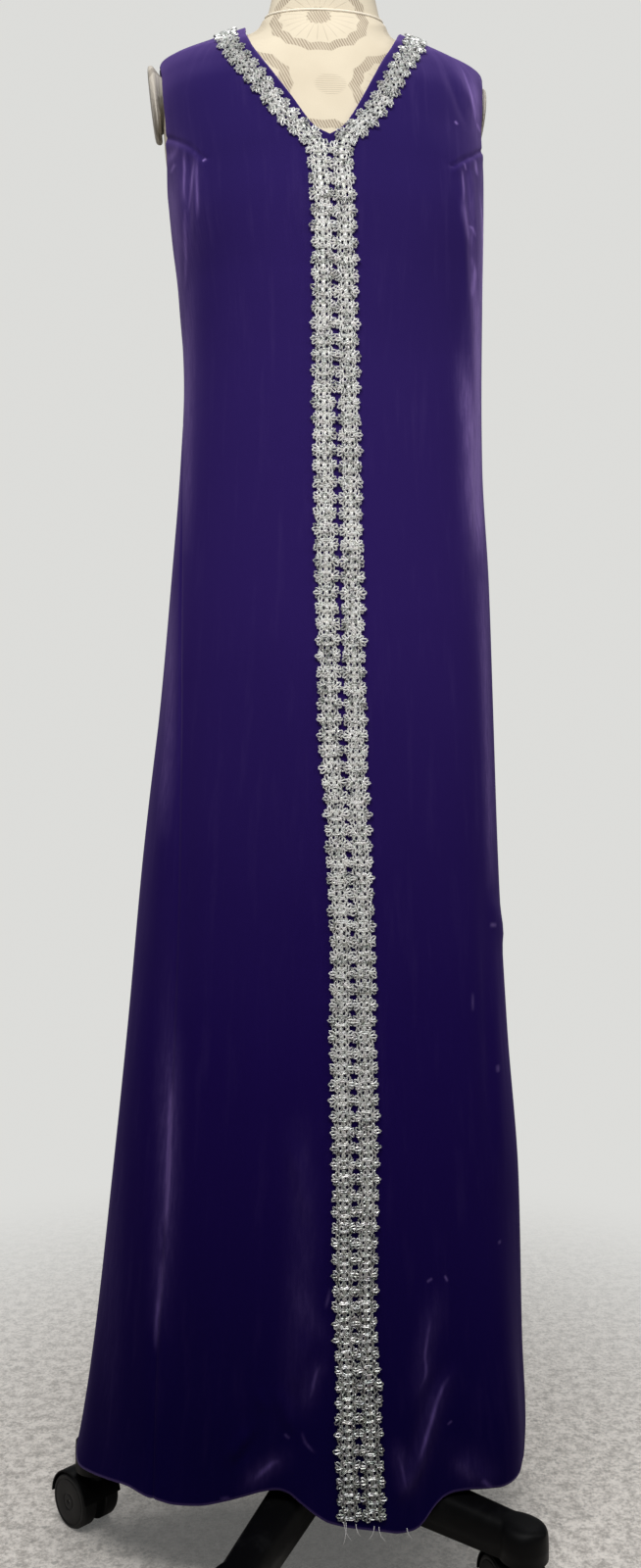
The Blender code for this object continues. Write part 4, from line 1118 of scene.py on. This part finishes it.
def cloth_shell(halves):
    """Points, faces, which faces are lining, where each point is, and how many are on the rim,
    of a closed wall from pairs of grids.

    The grids are welded where they meet, and the edges are rounded: between the outer and the
    inner edge runs a middle one, pushed out along the cloth by a share of its thickness.
    """
    outer = np.concatenate([grid.reshape(-1, 3) for grid, _, _ in halves])
    inner = np.concatenate([grid.reshape(-1, 3) for _, grid, _ in halves])
    drawn = np.concatenate([grid.reshape(-1, 2) for _, _, grid in halves])
    _, first, same = np.unique(np.round(outer, 3), axis=0, return_index=True, return_inverse=True)
    same = same.reshape(-1)
    outer, inner, drawn = outer[first], inner[first], drawn[first]
    faces, start = [], 0
    for grid, _, _ in halves:
        index = same[start + np.arange(grid.shape[0] * grid.shape[1])].reshape(grid.shape[:2])
        start += index.size
        corners = [index[:-1, :-1], index[:-1, 1:], index[1:, 1:], index[1:, :-1]]
        faces.append(np.stack(corners, axis=-1).reshape(-1, 4))
    faces = np.concatenate(faces)
    edges = np.stack([faces, np.roll(faces, -1, axis=1)], axis=-1).reshape(-1, 2)
    key = edges.min(axis=1) * len(outer) + edges.max(axis=1)
    _, where, count = np.unique(key, return_index=True, return_counts=True)
    rim = edges[where[count == 1]]
    ends, place_in_rim = np.unique(rim, return_inverse=True)
    place_in_rim = place_in_rim.reshape(rim.shape)
    through = unit(outer - inner)
    outwards = np.zeros((len(ends), 3))
    push = np.cross(outer[rim[:, 1]] - outer[rim[:, 0]], through[rim[:, 0]])
    np.add.at(outwards, place_in_rim[:, 0], push)
    np.add.at(outwards, place_in_rim[:, 1], push)
    middle = (outer[ends] + inner[ends]) / 2 + unit(outwards) * EDGE_SHARE * CLOTH
    size = len(outer)
    a, b = rim[:, 0], rim[:, 1]
    mid_a, mid_b = 2 * size + place_in_rim[:, 0], 2 * size + place_in_rim[:, 1]
    sides = np.vstack([
        np.stack([b, a, mid_a, mid_b], axis=-1),
        np.stack([mid_b, mid_a, a + size, b + size], axis=-1),
    ])
    points = np.vstack([outer, inner, middle])
    drawn = np.vstack([drawn, drawn, drawn[ends]])
    all_faces = np.vstack([faces, faces[:, ::-1] + size, sides])
    lining = np.concatenate([np.zeros(len(faces)), np.ones(len(faces)), np.zeros(len(sides))])
    return points, all_faces.tolist(), lining, drawn, len(ends)


# Velvet: its pile stands up and is deep and dull. Along creases, edges and handled patches a paler,
# sheenier look is mixed in, which is partly pile that is laid down and partly painted sheen and
# highlight on fold ridges. Its colour also darkens towards the floor and a little at the shoulders,
# which is painted shade. The fine lines are thin pale lines of that mixed kind: half width, strength
# and points down the front, by distance across from the pole and height.
FINE_PILE_AND_SHEEN_LINES = (
    (1.3, 0.38, (90, 258), (86, 240), (83, 220), (85, 206), (80, 194), (76, 184)),
    (1.6, 0.6, (113, 206), (103, 198), (95, 182), (88, 160), (81, 139), (73, 118)),
    (1.2, 0.5, (85, 284), (88, 286), (92, 288)),
    (1.1, 0.5, (102, 290), (106, 282)),
    (1.0, 0.4, (103, 156), (109, 161)),
    (1.4, 0.3, (58, 139), (63, 118), (67, 98)),
    (2.2, 0.5, (133, 110), (139, 104), (146, 97)),
    (1.4, 0.26, (-10, 220), (-16, 206), (-19, 190), (-23, 182)),
    (1.4, 0.26, (-29, 161), (-25, 148), (-14, 136)),
    (1.3, 0.35, (-44, 157), (-38, 151)),
    (1.4, 0.25, (-2, 287), (-4, 276), (-7, 264)),
    (2.2, 0.5, (-45, 135), (-54, 129), (-64, 120), (-72, 110)),
    (1.5, 0.3, (-102, 94), (-90, 97)),
    (1.8, 0.95, (-144, 480), (-146, 422), (-148, 361), (-149, 340), (-151, 306)),
    (2.2, 0.5, (-151, 316), (-155, 274), (-158, 242), (-159, 209)),
    (1.3, 0.4, (-134, 1325), (-133, 1298), (-134, 1282), (-133, 1262)),
    (1.5, 0.3, (-133, 1272), (-133, 1248), (-132, 1218), (-134, 1188)),
    (1.5, 0.36, (-121, 1312), (-122, 1293), (-121, 1266), (-121, 1242)),
    (1.2, 0.32, (-123, 1312), (-126, 1288), (-128, 1268), (-130, 1254)),
    (2.2, 0.3, (-141, 1312), (-145, 1310), (-148, 1308)),
    (1.2, 0.7, (-117, 1300), (-114, 1302), (-112, 1302)),
    (1.6, 0.42, (127, 1426), (132, 1412), (138, 1388), (141, 1364), (148, 1353)),
    (1.5, 0.6, (117, 1352), (121, 1348)),
    (2.0, 0.4, (143, 1364), (149, 1357)),
    (1.3, 0.5, (118, 1306), (123, 1304), (124, 1283), (123, 1266)),
    (1.3, 0.35, (125, 1312), (128, 1303)),
    (2.2, 0.55, (139, 1324), (140, 1315), (141, 1305)),
    (1.8, 0.45, (141, 1308), (145, 1287), (150, 1265), (152, 1235), (149, 1175)),
    (2.6, 0.42, (131, 1230), (138, 1216), (137, 1203), (133, 1184)),
    (1.6, 0.4, (127, 1252), (134, 1252), (139, 1244)),
    (1.8, 0.6, (151, 602), (162, 600)),
    (2, 0.45, (159, 472), (160, 462)),
    (1.4, 0.3, (132, 544), (132, 522)),
    (1.6, 0.4, (158, 311), (159, 306)),
)
LINE_STOPS = np.linspace(0, 1, 11)
LINE_RISE = np.pad(np.sin(np.linspace(0, np.pi, 9)[1:-1]) ** 0.7, 2)  # none at the two stops of each end
ASIDE_SPAN = 40  # half widths that a ramp's first colour channel spans


def fine_line(place, half_width, strength, *points):
    """One line in the pile: with t from 0 to 1 along its chord and s aside from that, in half
    widths, a ramp on t gives the line's own s and its strength, which rises and falls as a sine.
    The rest is a bell, e to the power of minus the square of the difference in s."""
    points = np.array(points, float) + (STAND_AT[0], 0)
    chord = points[-1] - points[0]
    length = np.hypot(*chord)
    reached = (points - points[0]) @ chord / length**2
    aside = (points - points[0]) @ np.array([-chord[1], chord[0]]) / length / half_width
    t, s, _ = place.node("Mapping", {
        "Vector": place,
        "Location": (*points[0] * MM, 0),
        "Rotation": (0, 0, math.atan2(chord[1], chord[0])),
        "Scale": (length * MM, half_width * MM, 1),
    }, vector_type="TEXTURE").parts()
    middles = 0.5 + np.interp(LINE_STOPS, reached, aside) / ASIDE_SPAN
    colours = np.stack([middles, strength * LINE_RISE, 0 * middles, 1 + 0 * middles], axis=-1)
    ramp = place.node("ValToRGB", {"Fac": t}, stops=list(zip(LINE_STOPS, colours)))
    ramp.socket.node.color_ramp.interpolation = "B_SPLINE"
    middle, strength_here, _ = ramp.parts()
    gap = s - (middle - 0.5) * ASIDE_SPAN
    return place.maths("EXPONENT", gap * gap * -1) * strength_here


# Where the pile has been pressed or brushed, and where sheen and highlights on fold ridges are
# painted in: lines down the front, by half width, strength and the points they run through, and soft
# patches by place, half width, half height and strength
PILE_AND_SHEEN_LINES = (
    (9, 0.16, (103, 200), (90, 170), (80, 136), (72, 102)),
    (9, 0.13, (94, 270), (84, 227), (78, 180)),
    (6, 0.2, (57, 144), (61, 127), (63, 116), (67, 98)),
    (4, 0.22, (113, 124), (120, 116), (128, 108)),
    (8, 0.12, (-9, 222), (-18, 201), (-25, 176)),
    (8, 0.10, (-34, 288), (-19, 258), (-7, 236)),
    (8, 0.2, (-43, 136), (-61, 123), (-78, 106)),
    (8, 0.2, (-144, 502), (-149, 360), (-158, 242)),
    (3, 0.22, (-149, 1324), (-144, 1321), (-140, 1324)),
    (3.5, 0.15, (-148, 1304), (-143, 1266), (-139, 1224), (-138, 1196)),
    (14, 0.08, (-135, 1322), (-133, 1276), (-130, 1208)),
    (9, 0.08, (128, 1448), (132, 1388), (142, 1342)),
    (3.2, 0.5, (123, 1272), (125, 1257), (129, 1243), (132, 1238)),
    (4, 0.25, (131, 1314), (138, 1168)),
    (9, 0.45, (124, 1126), (134, 1056), (139, 954)),
    (5, 0.6, (142, 1196), (146, 1060), (145, 956)),
    (6, 0.4, (146, 919), (151, 780), (155, 642)),
    (12, 0.10, (-30, 430), (-26, 330), (-34, 190)),
    (12, 0.08, (-132, 1280), (-134, 1150), (-136, 1000)),
    (14, 0.12, (110, 132), (146, 98)),
    (6, 0.3, (-146, 910), (-148, 780), (-152, 688)),
    (5, 0.2, (-131, 1192), (-131, 1056), (-132, 953)),
)
PILE_AND_SHEEN_PATCHES = (
    (136, 1040, 12, 85, 0.35),
    (140, 1150, 8, 60, 0.25),
    (143, 1385, 6, 30, 0.35),
    (-146, 1325, 8, 9, 0.15),
    (-151, 1230, 6, 60, 0.15),
    (147, 1230, 6, 70, 0.35),
    (-142, 1120, 9, 60, 0.08),
    (148, 925, 10, 60, 0.2),
    (-148, 420, 10, 120, 0.15),
    (-203, 280, 12, 130, 0.10),
)


def pile_laid_and_painted_sheen(angle, height):
    """How far the pile is laid down and painted with sheen: the soft lines, and for each patch a bell
    both ways.
    """
    across = gown_point(angle, height)[..., 0]
    total = drawn_lines(PILE_AND_SHEEN_LINES, across, height)
    for x, z, wide, tall, amount in PILE_AND_SHEEN_PATCHES:
        total += amount * np.exp(-(((across - x) / wide) ** 2) - ((height - z) / tall) ** 2)
    return total * (np.cos(np.radians(angle)) > 0)


CLOTH_MM_PER_DEGREE = 2.6  # on the cloth's own map, round the gown
PAINTED_SHADE_SPAN = 1.5  # metres up from the floor over which the velvet's colour carries painted shade: darkest at the floor, lightest from 0.9 to 1.15 m up, a little darker again at the shoulders
velvet, at = new_look("purple velvet")
cloth_uv = at.node("UVMap", uv_map="cloth")
round_the_cloth, up_the_cloth, _ = cloth_uv.parts()
painted_shade_height = up_the_cloth * (1 / PAINTED_SHADE_SPAN)
nap = at.node("Mapping", {"Vector": cloth_uv, "Scale": (90, 9, 1)})
streaks = at.node("TexNoise", {"Vector": nap, "Scale": 1, "Detail": 4, "Roughness": 0.6})
broad = at.node("TexNoise", {"Vector": cloth_uv, "Scale": 7, "Detail": 2})
fibre = at.node("TexNoise", {"Vector": cloth_uv, "Scale": 1400, "Detail": 2})
# how far the pile is laid down, together with painted sheen and highlights on fold ridges
brushed = at.node("Attribute", output="Fac", attribute_name="brushed")
crush_place = at.node("Mapping", {"Vector": cloth_uv, "Scale": (330, 42, 1), "Rotation": (0, 0, 0.1)})
crushed = at.node("TexNoise", {"Vector": crush_place, "Scale": 1, "Detail": 4, "Roughness": 0.65})
crushed = crushed.step(0.38, 0.66)
slant = at.node("LayerWeight", {"Blend": 0.5}, output="Facing").step(0.3, 1.0)
pile_bump = at.node("Bump", {"Height": fibre + streaks * 0.4, "Strength": 0.25, "Distance": 0.0008})
# painted shade: the upright pile's colour is darkest near the floor, lightest from 0.9 to 1.15 m up, and
# a little darker again at the shoulders
deep_with_painted_shade = at.node("ValToRGB", {"Fac": painted_shade_height * (0.92 + broad * 0.16)}, stops=(
    (0.10, (0.0036, 0.0015, 0.033, 1)),
    (0.33, (0.0115, 0.0045, 0.072, 1)),
    (0.60, (0.026, 0.0120, 0.110, 1)),
    (0.76, (0.026, 0.0130, 0.105, 1)),
    (0.89, (0.0195, 0.0105, 0.080, 1)),
))
upright_pile = at.node("BsdfPrincipled", {
    "Base Color": deep_with_painted_shade,
    "Roughness": 0.85, "Specular IOR Level": 0.0,
    "Sheen Weight": 0.04, "Sheen Roughness": 0.5, "Sheen Tint": (0.5, 0.34, 0.95, 1),
    "Normal": pile_bump,
})
laid_pile_and_sheen = at.node("BsdfPrincipled", {
    # painted shade: the laid pile's colour is darker the nearer it is to the floor
    "Base Color": painted_shade_height.between((0.055, 0.032, 0.15, 1), (0.26, 0.165, 0.48, 1)),
    "Roughness": 0.6, "Specular IOR Level": 0.12,
    "Sheen Weight": 0.25, "Sheen Roughness": 0.4, "Sheen Tint": (0.66, 0.52, 0.95, 1),
    "Normal": pile_bump,
})
across, _, up = at.node("TexCoord", output="Object").parts()
front_map = at.node("CombineXYZ", {0: across, 1: up})
# thin pale lines: partly turned pile, partly painted highlight along crease ridges
fine = sum(fine_line(front_map, *line) for line in FINE_PILE_AND_SHEEN_LINES)
in_front = at.maths("LESS_THAN", at.maths("ABSOLUTE", round_the_cloth), 90 * CLOTH_MM_PER_DEGREE * MM)
from_hem = at.node("Attribute", output="Fac", attribute_name="from_hem")  # metres above the edge
# share of the paler pile: laid pile with painted sheen, a grazing sheen painted weaker towards the floor,
# random nap streaks, the fine lines and a pale line above the hem
laid_and_sheen_share = (
    brushed * (0.7 + crushed * 0.55)
    + slant * (0.13 + painted_shade_height * 0.22) * (0.6 + streaks * 0.8)
    + streaks.step(0.5, 0.8) * 0.04
    + fine * in_front * (0.95 + crushed * 0.6)
    # a pale line just above the hem: partly parted pile, partly painted highlight
    + from_hem.step(0.0026, 0.0008) * 0.5
)
show(at, at.node("MixShader", {0: at.maths("MINIMUM", laid_and_sheen_share, 0.95), 1: upright_pile, 2: laid_pile_and_sheen}))

# Lining: a plain glossy twill, which is the velvet's own inner face
lining_look, at = new_look("purple lining")
twill = at.node("TexWave", {"Vector": at.node("UVMap", uv_map="cloth"), "Scale": 400, "Distortion": 1})
show(at, at.node("BsdfPrincipled", {
    "Base Color": twill.between((0.02, 0.010, 0.07, 1), (0.03, 0.016, 0.095, 1)),
    "Roughness": 0.45,
}))


def gown_piece(name, halves, node):
    """A panel from its two halves, with the lining's look on its inner faces and, point by point,
    how far the pile is brushed and painted with sheen, and how far above the hem it is."""
    points, faces, is_lining, drawn, rim_points = cloth_shell(halves)
    around = ((drawn[:, 0] + 180) % 360 - 180) * CLOTH_MM_PER_DEGREE
    whole = 0 * around + 360 * CLOTH_MM_PER_DEGREE
    uv = np.stack([around, drawn[:, 1], whole], axis=-1) * MM
    piece = new_piece(
        name, points, faces, "stand_and_gown", uv, [velvet, lining_look], is_lining
    )
    layer = piece.data.attributes.new("brushed", "FLOAT", "POINT")
    laid_and_painted_sheen = pile_laid_and_painted_sheen(drawn[:, 0], drawn[:, 1])
    laid_and_painted_sheen[len(points) - rim_points:] += 0.3  # the pile is paler along every edge: partly parted pile, partly painted highlight
    layer.data.foreach_set("value", laid_and_painted_sheen.astype(np.float32))
    layer = piece.data.attributes.new("from_hem", "FLOAT", "POINT")
    above = drawn[:, 1] - hem_height(drawn[:, 0])
    layer.data.foreach_set("value", (above * MM).astype(np.float32))
    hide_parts(node)
    return piece


front_walls, back_walls = [], []
for side in (-1, 1):
    front_walls.append(cloth_walls(*front_half(side), side))
    angles, heights = back_half(side)
    vent = VENT_STEP * ease(-heights, -VENT_TOP, -VENT_FULL)
    vent = vent * np.exp(-(((angles - 90) / VENT_ROUND) ** 2)) * (heights < VENT_TOP)
    back_walls.append(cloth_walls(angles, heights, -side, vent))
gown_front = gown_piece("velvet_front", front_walls, "gown_front")
gown_back = gown_piece("velvet_back", back_walls, "gown_back")

# Braid: bought by the metre, silver cord looped into flowers that are joined end to end, and sewn
# on in two rows down the front and on round the neck. Each loop is a tube of four sides that
# twists, and its place, size and tone differ a little from the next one's.
FLOWER_PITCH, NECK_ROW_INSET, ROW_ABOVE_HEM = 14.1, 17, 7
SHOULDER_END = 0.8  # degrees that each length stops short of the shoulder seam
CORD_RADIUS, CORD_SWELL, CORD_TWISTS, CORD_SIDES = 0.7, 0.14, 3, 4
LOOP_STEPS = 12
SHIFT, STRETCH, WAVER = 0.28, 0.06, 0.16  # spread of a loop's place and size, and of each point

# How far the middle of each row of braid is from the centre front
ROW_ASIDE = columns(
    "height aside",
    (60, 11.0),
    (142, 10.7),
    (194, 9.6),
    (246, 9.4),
    (299, 9.8),
    (403, 10.8),
    (508, 10.5),
    (612, 10.0),
    (717, 10.1),
    (769, 11.3),
    (926, 11.6),
    (1031, 11.4),
    (1171, 10.2),
    (1290, 9.9),
    (1303, 10.3),
    (1311, 14.0),
    (1321, 23.3),
    (1333, 34.3),
    (1345, 43.5),
    (1370, 58),
    (1398, 73.5),
    (1428, 87),
    (1469, 93.5),
)

# How far both rows stray from the centre line as they were sewn on by hand
ROW_STRAY = columns(
    "height stray",
    (60, 0),
    (142, -0.9),
    (194, 0),
    (246, -2.2),
    (299, -1.8),
    (403, 0),
    (508, -0.9),
    (560, 0.9),
    (612, 1.3),
    (665, 0.5),
    (717, -0.5),
    (769, -2.2),
    (874, -2.4),
    (1031, -1.3),
    (1136, -0.9),
    (1240, -1.7),
    (1301, -3.6),
    (1323, -1.5),
    (1350, 0),
)


def front_row_path(side):
    """Up the centre front and on beside the V."""
    top = NECK_POINT - NECK_ROW_INSET * 0.45
    bottom = hem_height(centre_angle(70.0)) + ROW_ABOVE_HEM
    height = bottom + (top - bottom) * np.linspace(0, 1, 3000)
    offset = along(ROW_ASIDE, "height", "aside", height)
    centre = along(TURN, "height", "centre", height) + along(ROW_STRAY, "height", "stray", height)
    angle = angle_at(centre + side * offset, height)
    before_shoulder = np.abs(angle) < 90 - SHOULDER_END
    return angle[before_shoulder], height[before_shoulder]


# The petals of one side of a flower: their lean in degrees, their length and how high they lie
PETALS = ((80, 7.3, 1.1), (40, 6.5, 1.5), (0, 6.4, 1.9), (-40, 6.5, 1.4), (-80, 7.2, 1.2))
PETAL_ROOT = 4.7  # from the middle of the braid


def flower_loops():
    """One flower and the joint after it: closed loops of cord as rows of (across, along, lift).

    A fan of five petals to each side, and down the middle a lattice: rings round four holes,
    with a knot between each two and long loops that cross between the flower and its joints.
    """
    t = np.arange(LOOP_STEPS) * 2 * np.pi / LOOP_STEPS
    loops = []
    for side in (-1, 1):
        for lean, long, raised in PETALS:
            way = np.radians(lean)
            share = (1 - np.cos(t)) / 2
            wide = np.sin(t) * (1.0 + 0.6 * share)
            x = PETAL_ROOT + long * share * np.cos(way) - wide * np.sin(way)
            y = long * share * np.sin(way) + wide * np.cos(way)
            loops.append(np.stack([side * x, y, raised + 0.7 * np.sin(share * np.pi)], axis=-1))
        for level, raised in ((0, 1.9), (FLOWER_PITCH / 2, 1.3)):
            ring = [side * 2.95 + 1.75 * np.cos(t), level + 2.3 * np.sin(t), raised + 0 * t]
            loops.append(np.stack(ring, axis=-1))
    for level in (0, FLOWER_PITCH / 2):
        knot = [0.75 * np.cos(t), level + 2.5 * np.sin(t), 2.0 + 0.3 * np.cos(2 * t)]
        loops.append(np.stack(knot, axis=-1))
    for level in (-FLOWER_PITCH / 4, FLOWER_PITCH / 4):
        crossing = [5.0 * np.cos(t), level + 0.75 * np.sin(t), 1.8 + 0.3 * np.cos(3 * t)]
        loops.append(np.stack(crossing, axis=-1))
    return np.array(loops)


def braid_points(angle, height, seed):
    """Centre lines and outward directions of every loop along a path on the gown.

    A step aside is turned into an angle and a height by the inverse of the cloth's own slopes.
    """
    path = gown_point(angle, height)
    length = np.concatenate([[0], np.cumsum(np.linalg.norm(np.diff(path, axis=0), axis=1))])
    flowers = int(length[-1] // FLOWER_PITCH)
    pitch = length[-1] / flowers
    ahead = unit(np.gradient(path, axis=0))
    aside = unit(np.cross(gown_normal(angle, height), ahead))
    slopes = np.stack([
        gown_point(angle + 0.5, height) - gown_point(angle - 0.5, height),
        (gown_point(angle, height + 1) - gown_point(angle, height - 1)) / 2,
    ], axis=-1)
    step = (np.linalg.pinv(slopes) @ aside[..., None])[..., 0]
    draw = np.random.default_rng(seed)
    loops = flower_loops()
    count = len(loops)
    shift = draw.normal(0, SHIFT, (flowers, count, 1, 3)) * (1, 1, 0.8)
    stretch = 1 + draw.normal(0, STRETCH, (flowers, count, 1, 1))
    waver = draw.normal(0, WAVER, (flowers, count, LOOP_STEPS, 3))
    stretch = np.concatenate([stretch, stretch, np.ones_like(stretch)], axis=-1)
    shape = loops[None] * stretch + shift + waver
    along_path = (np.arange(flowers)[:, None, None] + 0.5) * pitch + shape[..., 1]
    along_path = np.clip(along_path, 0.5, length[-1] - 0.5)
    where = np.interp(along_path, length, np.arange(len(length)))
    low = where.astype(int)

    def read(column):
        return np.interp(where, np.arange(len(length)), column)

    at_angle = read(angle) + read(step[:, 0]) * shape[..., 0]
    at_height = read(height) + read(step[:, 1]) * shape[..., 0]
    out = gown_normal(at_angle, at_height)
    lift = np.clip(shape[..., 2], CORD_RADIUS * 0.6, None)
    base = gown_point(at_angle, at_height) + out * lumps(at_angle, at_height)[..., None]
    return base + out * lift[..., None], out


def cord_tubes(centres, out):
    """Square cords that twist as they go along closed loops, thick and thin in turn: points and
    faces. After a whole loop the twist has come round by whole turns, so the corners meet again."""
    ahead = unit(np.roll(centres, -1, axis=-2) - np.roll(centres, 1, axis=-2))
    across = unit(np.cross(ahead, out))
    up = np.cross(across, ahead)
    step = np.arange(LOOP_STEPS)[:, None]
    corner = np.arange(CORD_SIDES)[None, :] * 2 * np.pi / CORD_SIDES
    twist = step * 2 * np.pi * CORD_TWISTS / LOOP_STEPS + corner
    swell = CORD_RADIUS * (1 + CORD_SWELL * np.cos(step * np.pi))
    ring = centres[..., None, :] + swell[..., None] * (
        np.cos(twist)[..., None] * across[..., None, :] + np.sin(twist)[..., None] * up[..., None, :]
    )
    index = np.arange(ring.size // 3).reshape(ring.shape[:-1])
    ahead_index = np.roll(index, -1, axis=-2)
    beside = np.roll(index, -1, axis=-1)
    beside_ahead = np.roll(ahead_index, -1, axis=-1)
    faces = np.stack([index, ahead_index, beside_ahead, beside], axis=-1)
    return ring.reshape(-1, 3), faces.reshape(-1, 4).tolist()


silver, at = new_look("silver braid")
glint_place = at.node("TexCoord", output="Object")
glints = at.node("TexNoise", {"Vector": glint_place, "Scale": 620, "Detail": 2, "Roughness": 0.7})
patchy = at.node("TexNoise", {"Vector": glint_place, "Scale": 120, "Detail": 1})
colours = at.node("TexNoise", {"Vector": glint_place, "Scale": 300}, output="Color")
_, _, at_height = glint_place.parts()
tone = at.node("Attribute", output="Fac", attribute_name="tone")
# painted shade: the braid's colour darkens towards the floor and at the top over the shoulders
shade = at_height.step(0.0, 0.75) * (1 - at_height.step(1.30, 1.465) * 0.75)
silver_in_painted_shade = shade.between((0.03, 0.032, 0.029, 1), (0.17, 0.18, 0.168, 1))
silver_glint_colour = shade.between((0.27, 0.275, 0.26, 1), (0.98, 0.98, 0.95, 1))
# painted glints and painted shade: fine noise, shifted by each loop's tone, picks between the bright
# glint colour and a dark one for shade between the cords
silver_with_painted_glints = (glints + tone * 0.24).step(0.47, 0.61).between(silver_in_painted_shade, silver_glint_colour)
tinted = at.node("Mix", {"Factor": 0.10, 6: silver_with_painted_glints, 7: colours}, output=2, data_type="RGBA")
show(at, at.node("BsdfPrincipled", {
    "Base Color": tinted,
    "Metallic": 0.3,
    "Roughness": 0.12 + patchy * 0.3,
}))

nape_turn = np.linspace(90 + SHOULDER_END, 270 - SHOULDER_END, 1500)
nape_level = back_neck_height(
    nape_turn, BACK_NECK - NECK_ROW_INSET * 0.9, NECK_POINT - NECK_ROW_INSET * 0.45
)
BRAID_ROWS = (
    ("left", front_row_path(-1), 11),
    ("right", front_row_path(1), 12),
    ("back_neck", (nape_turn, nape_level), 13),
)
TONE_SEED = 20  # above the row's own
for row_name, (row_angle, row_height), row_seed in BRAID_ROWS:
    centre_lines, outwards = braid_points(row_angle, row_height, row_seed)
    cord_points, cord_faces = cord_tubes(centre_lines, outwards)
    braid = new_piece(
        "flower_braid_" + row_name, cord_points, cord_faces, "stand_and_gown", None, [silver],
        smooth=False,
    )
    loop_count = centre_lines.shape[0] * centre_lines.shape[1]
    tones = np.random.default_rng(row_seed + TONE_SEED).random(loop_count)
    point_tones = np.repeat(tones, LOOP_STEPS * CORD_SIDES)
    tone_layer = braid.data.attributes.new("tone", "FLOAT", "POINT")
    tone_layer.data.foreach_set("value", point_tones.astype(np.float32))
    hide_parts("braid_" + row_name)

# Cut threads: ends of the sewing thread hang out of the braid at the hem. Each starts under the last
# flower and droops as it goes out, a thin tube along a quadratic. By thread: its place across from
# the centre front, how far it strays sideways, its drop, and how far it bows out.
THREADS = (
    (-17, 7, -17, 1.5), (-15, -3, -21, 2.5), (-6, 4, -11, 1.2), (10, -5, -12, 1.0), (14, 6, -13, 1.8),
    (39, 5, -10, 1.0),
)
THREAD_RADIUS, THREAD_SIDES = 0.38, 5
THREAD_ROOT, THREAD_OFF = 5, 2.2  # above the hem, and off the velvet
cut_thread, at = new_look("cut thread")
spun = at.node("TexNoise", {"Vector": at.node("TexCoord", output="Object"), "Scale": 900, "Detail": 1})
show(at, at.node("BsdfPrincipled", {
    "Base Color": spun.between((0.45, 0.44, 0.46, 1), (0.95, 0.94, 0.92, 1)), "Roughness": 0.5,
}))
thread_share = np.linspace(0, 1, 9)[:, None]
turn = np.arange(THREAD_SIDES) * 2 * np.pi / THREAD_SIDES
thin = THREAD_RADIUS * (1 - 0.5 * thread_share)[..., None]
centre_at_hem = along(TURN, "height", "centre", np.array(70.0))
thread_points, thread_faces, start = [], [], 0
for aside, sideways, drop, bow in THREADS:
    root_angle = angle_at(centre_at_hem + aside, 72.0)
    root_height = hem_height(root_angle) + THREAD_ROOT
    root = gown_point(root_angle, root_height)
    out = gown_normal(root_angle, root_height)
    side_way = unit(np.cross((0, 0, 1), out))
    path = root + out * (THREAD_OFF + bow * np.sin(thread_share * np.pi))
    path = path + side_way * sideways * thread_share**2 + np.array([0, 0, drop]) * thread_share
    ahead = unit(np.gradient(path, axis=0))
    beside = unit(np.cross(ahead, out))
    above = np.cross(ahead, beside)
    ring = path[:, None] + thin * (
        np.cos(turn)[:, None] * beside[:, None] + np.sin(turn)[:, None] * above[:, None]
    )
    thread_points.append(ring.reshape(-1, 3))
    thread_faces += ring_faces(*ring.shape[:2], start=start)
    start += ring.shape[0] * ring.shape[1]
thread_piece = new_piece(
    "frayed_threads", np.vstack(thread_points), thread_faces, "stand_and_gown", None, [cut_thread]
)
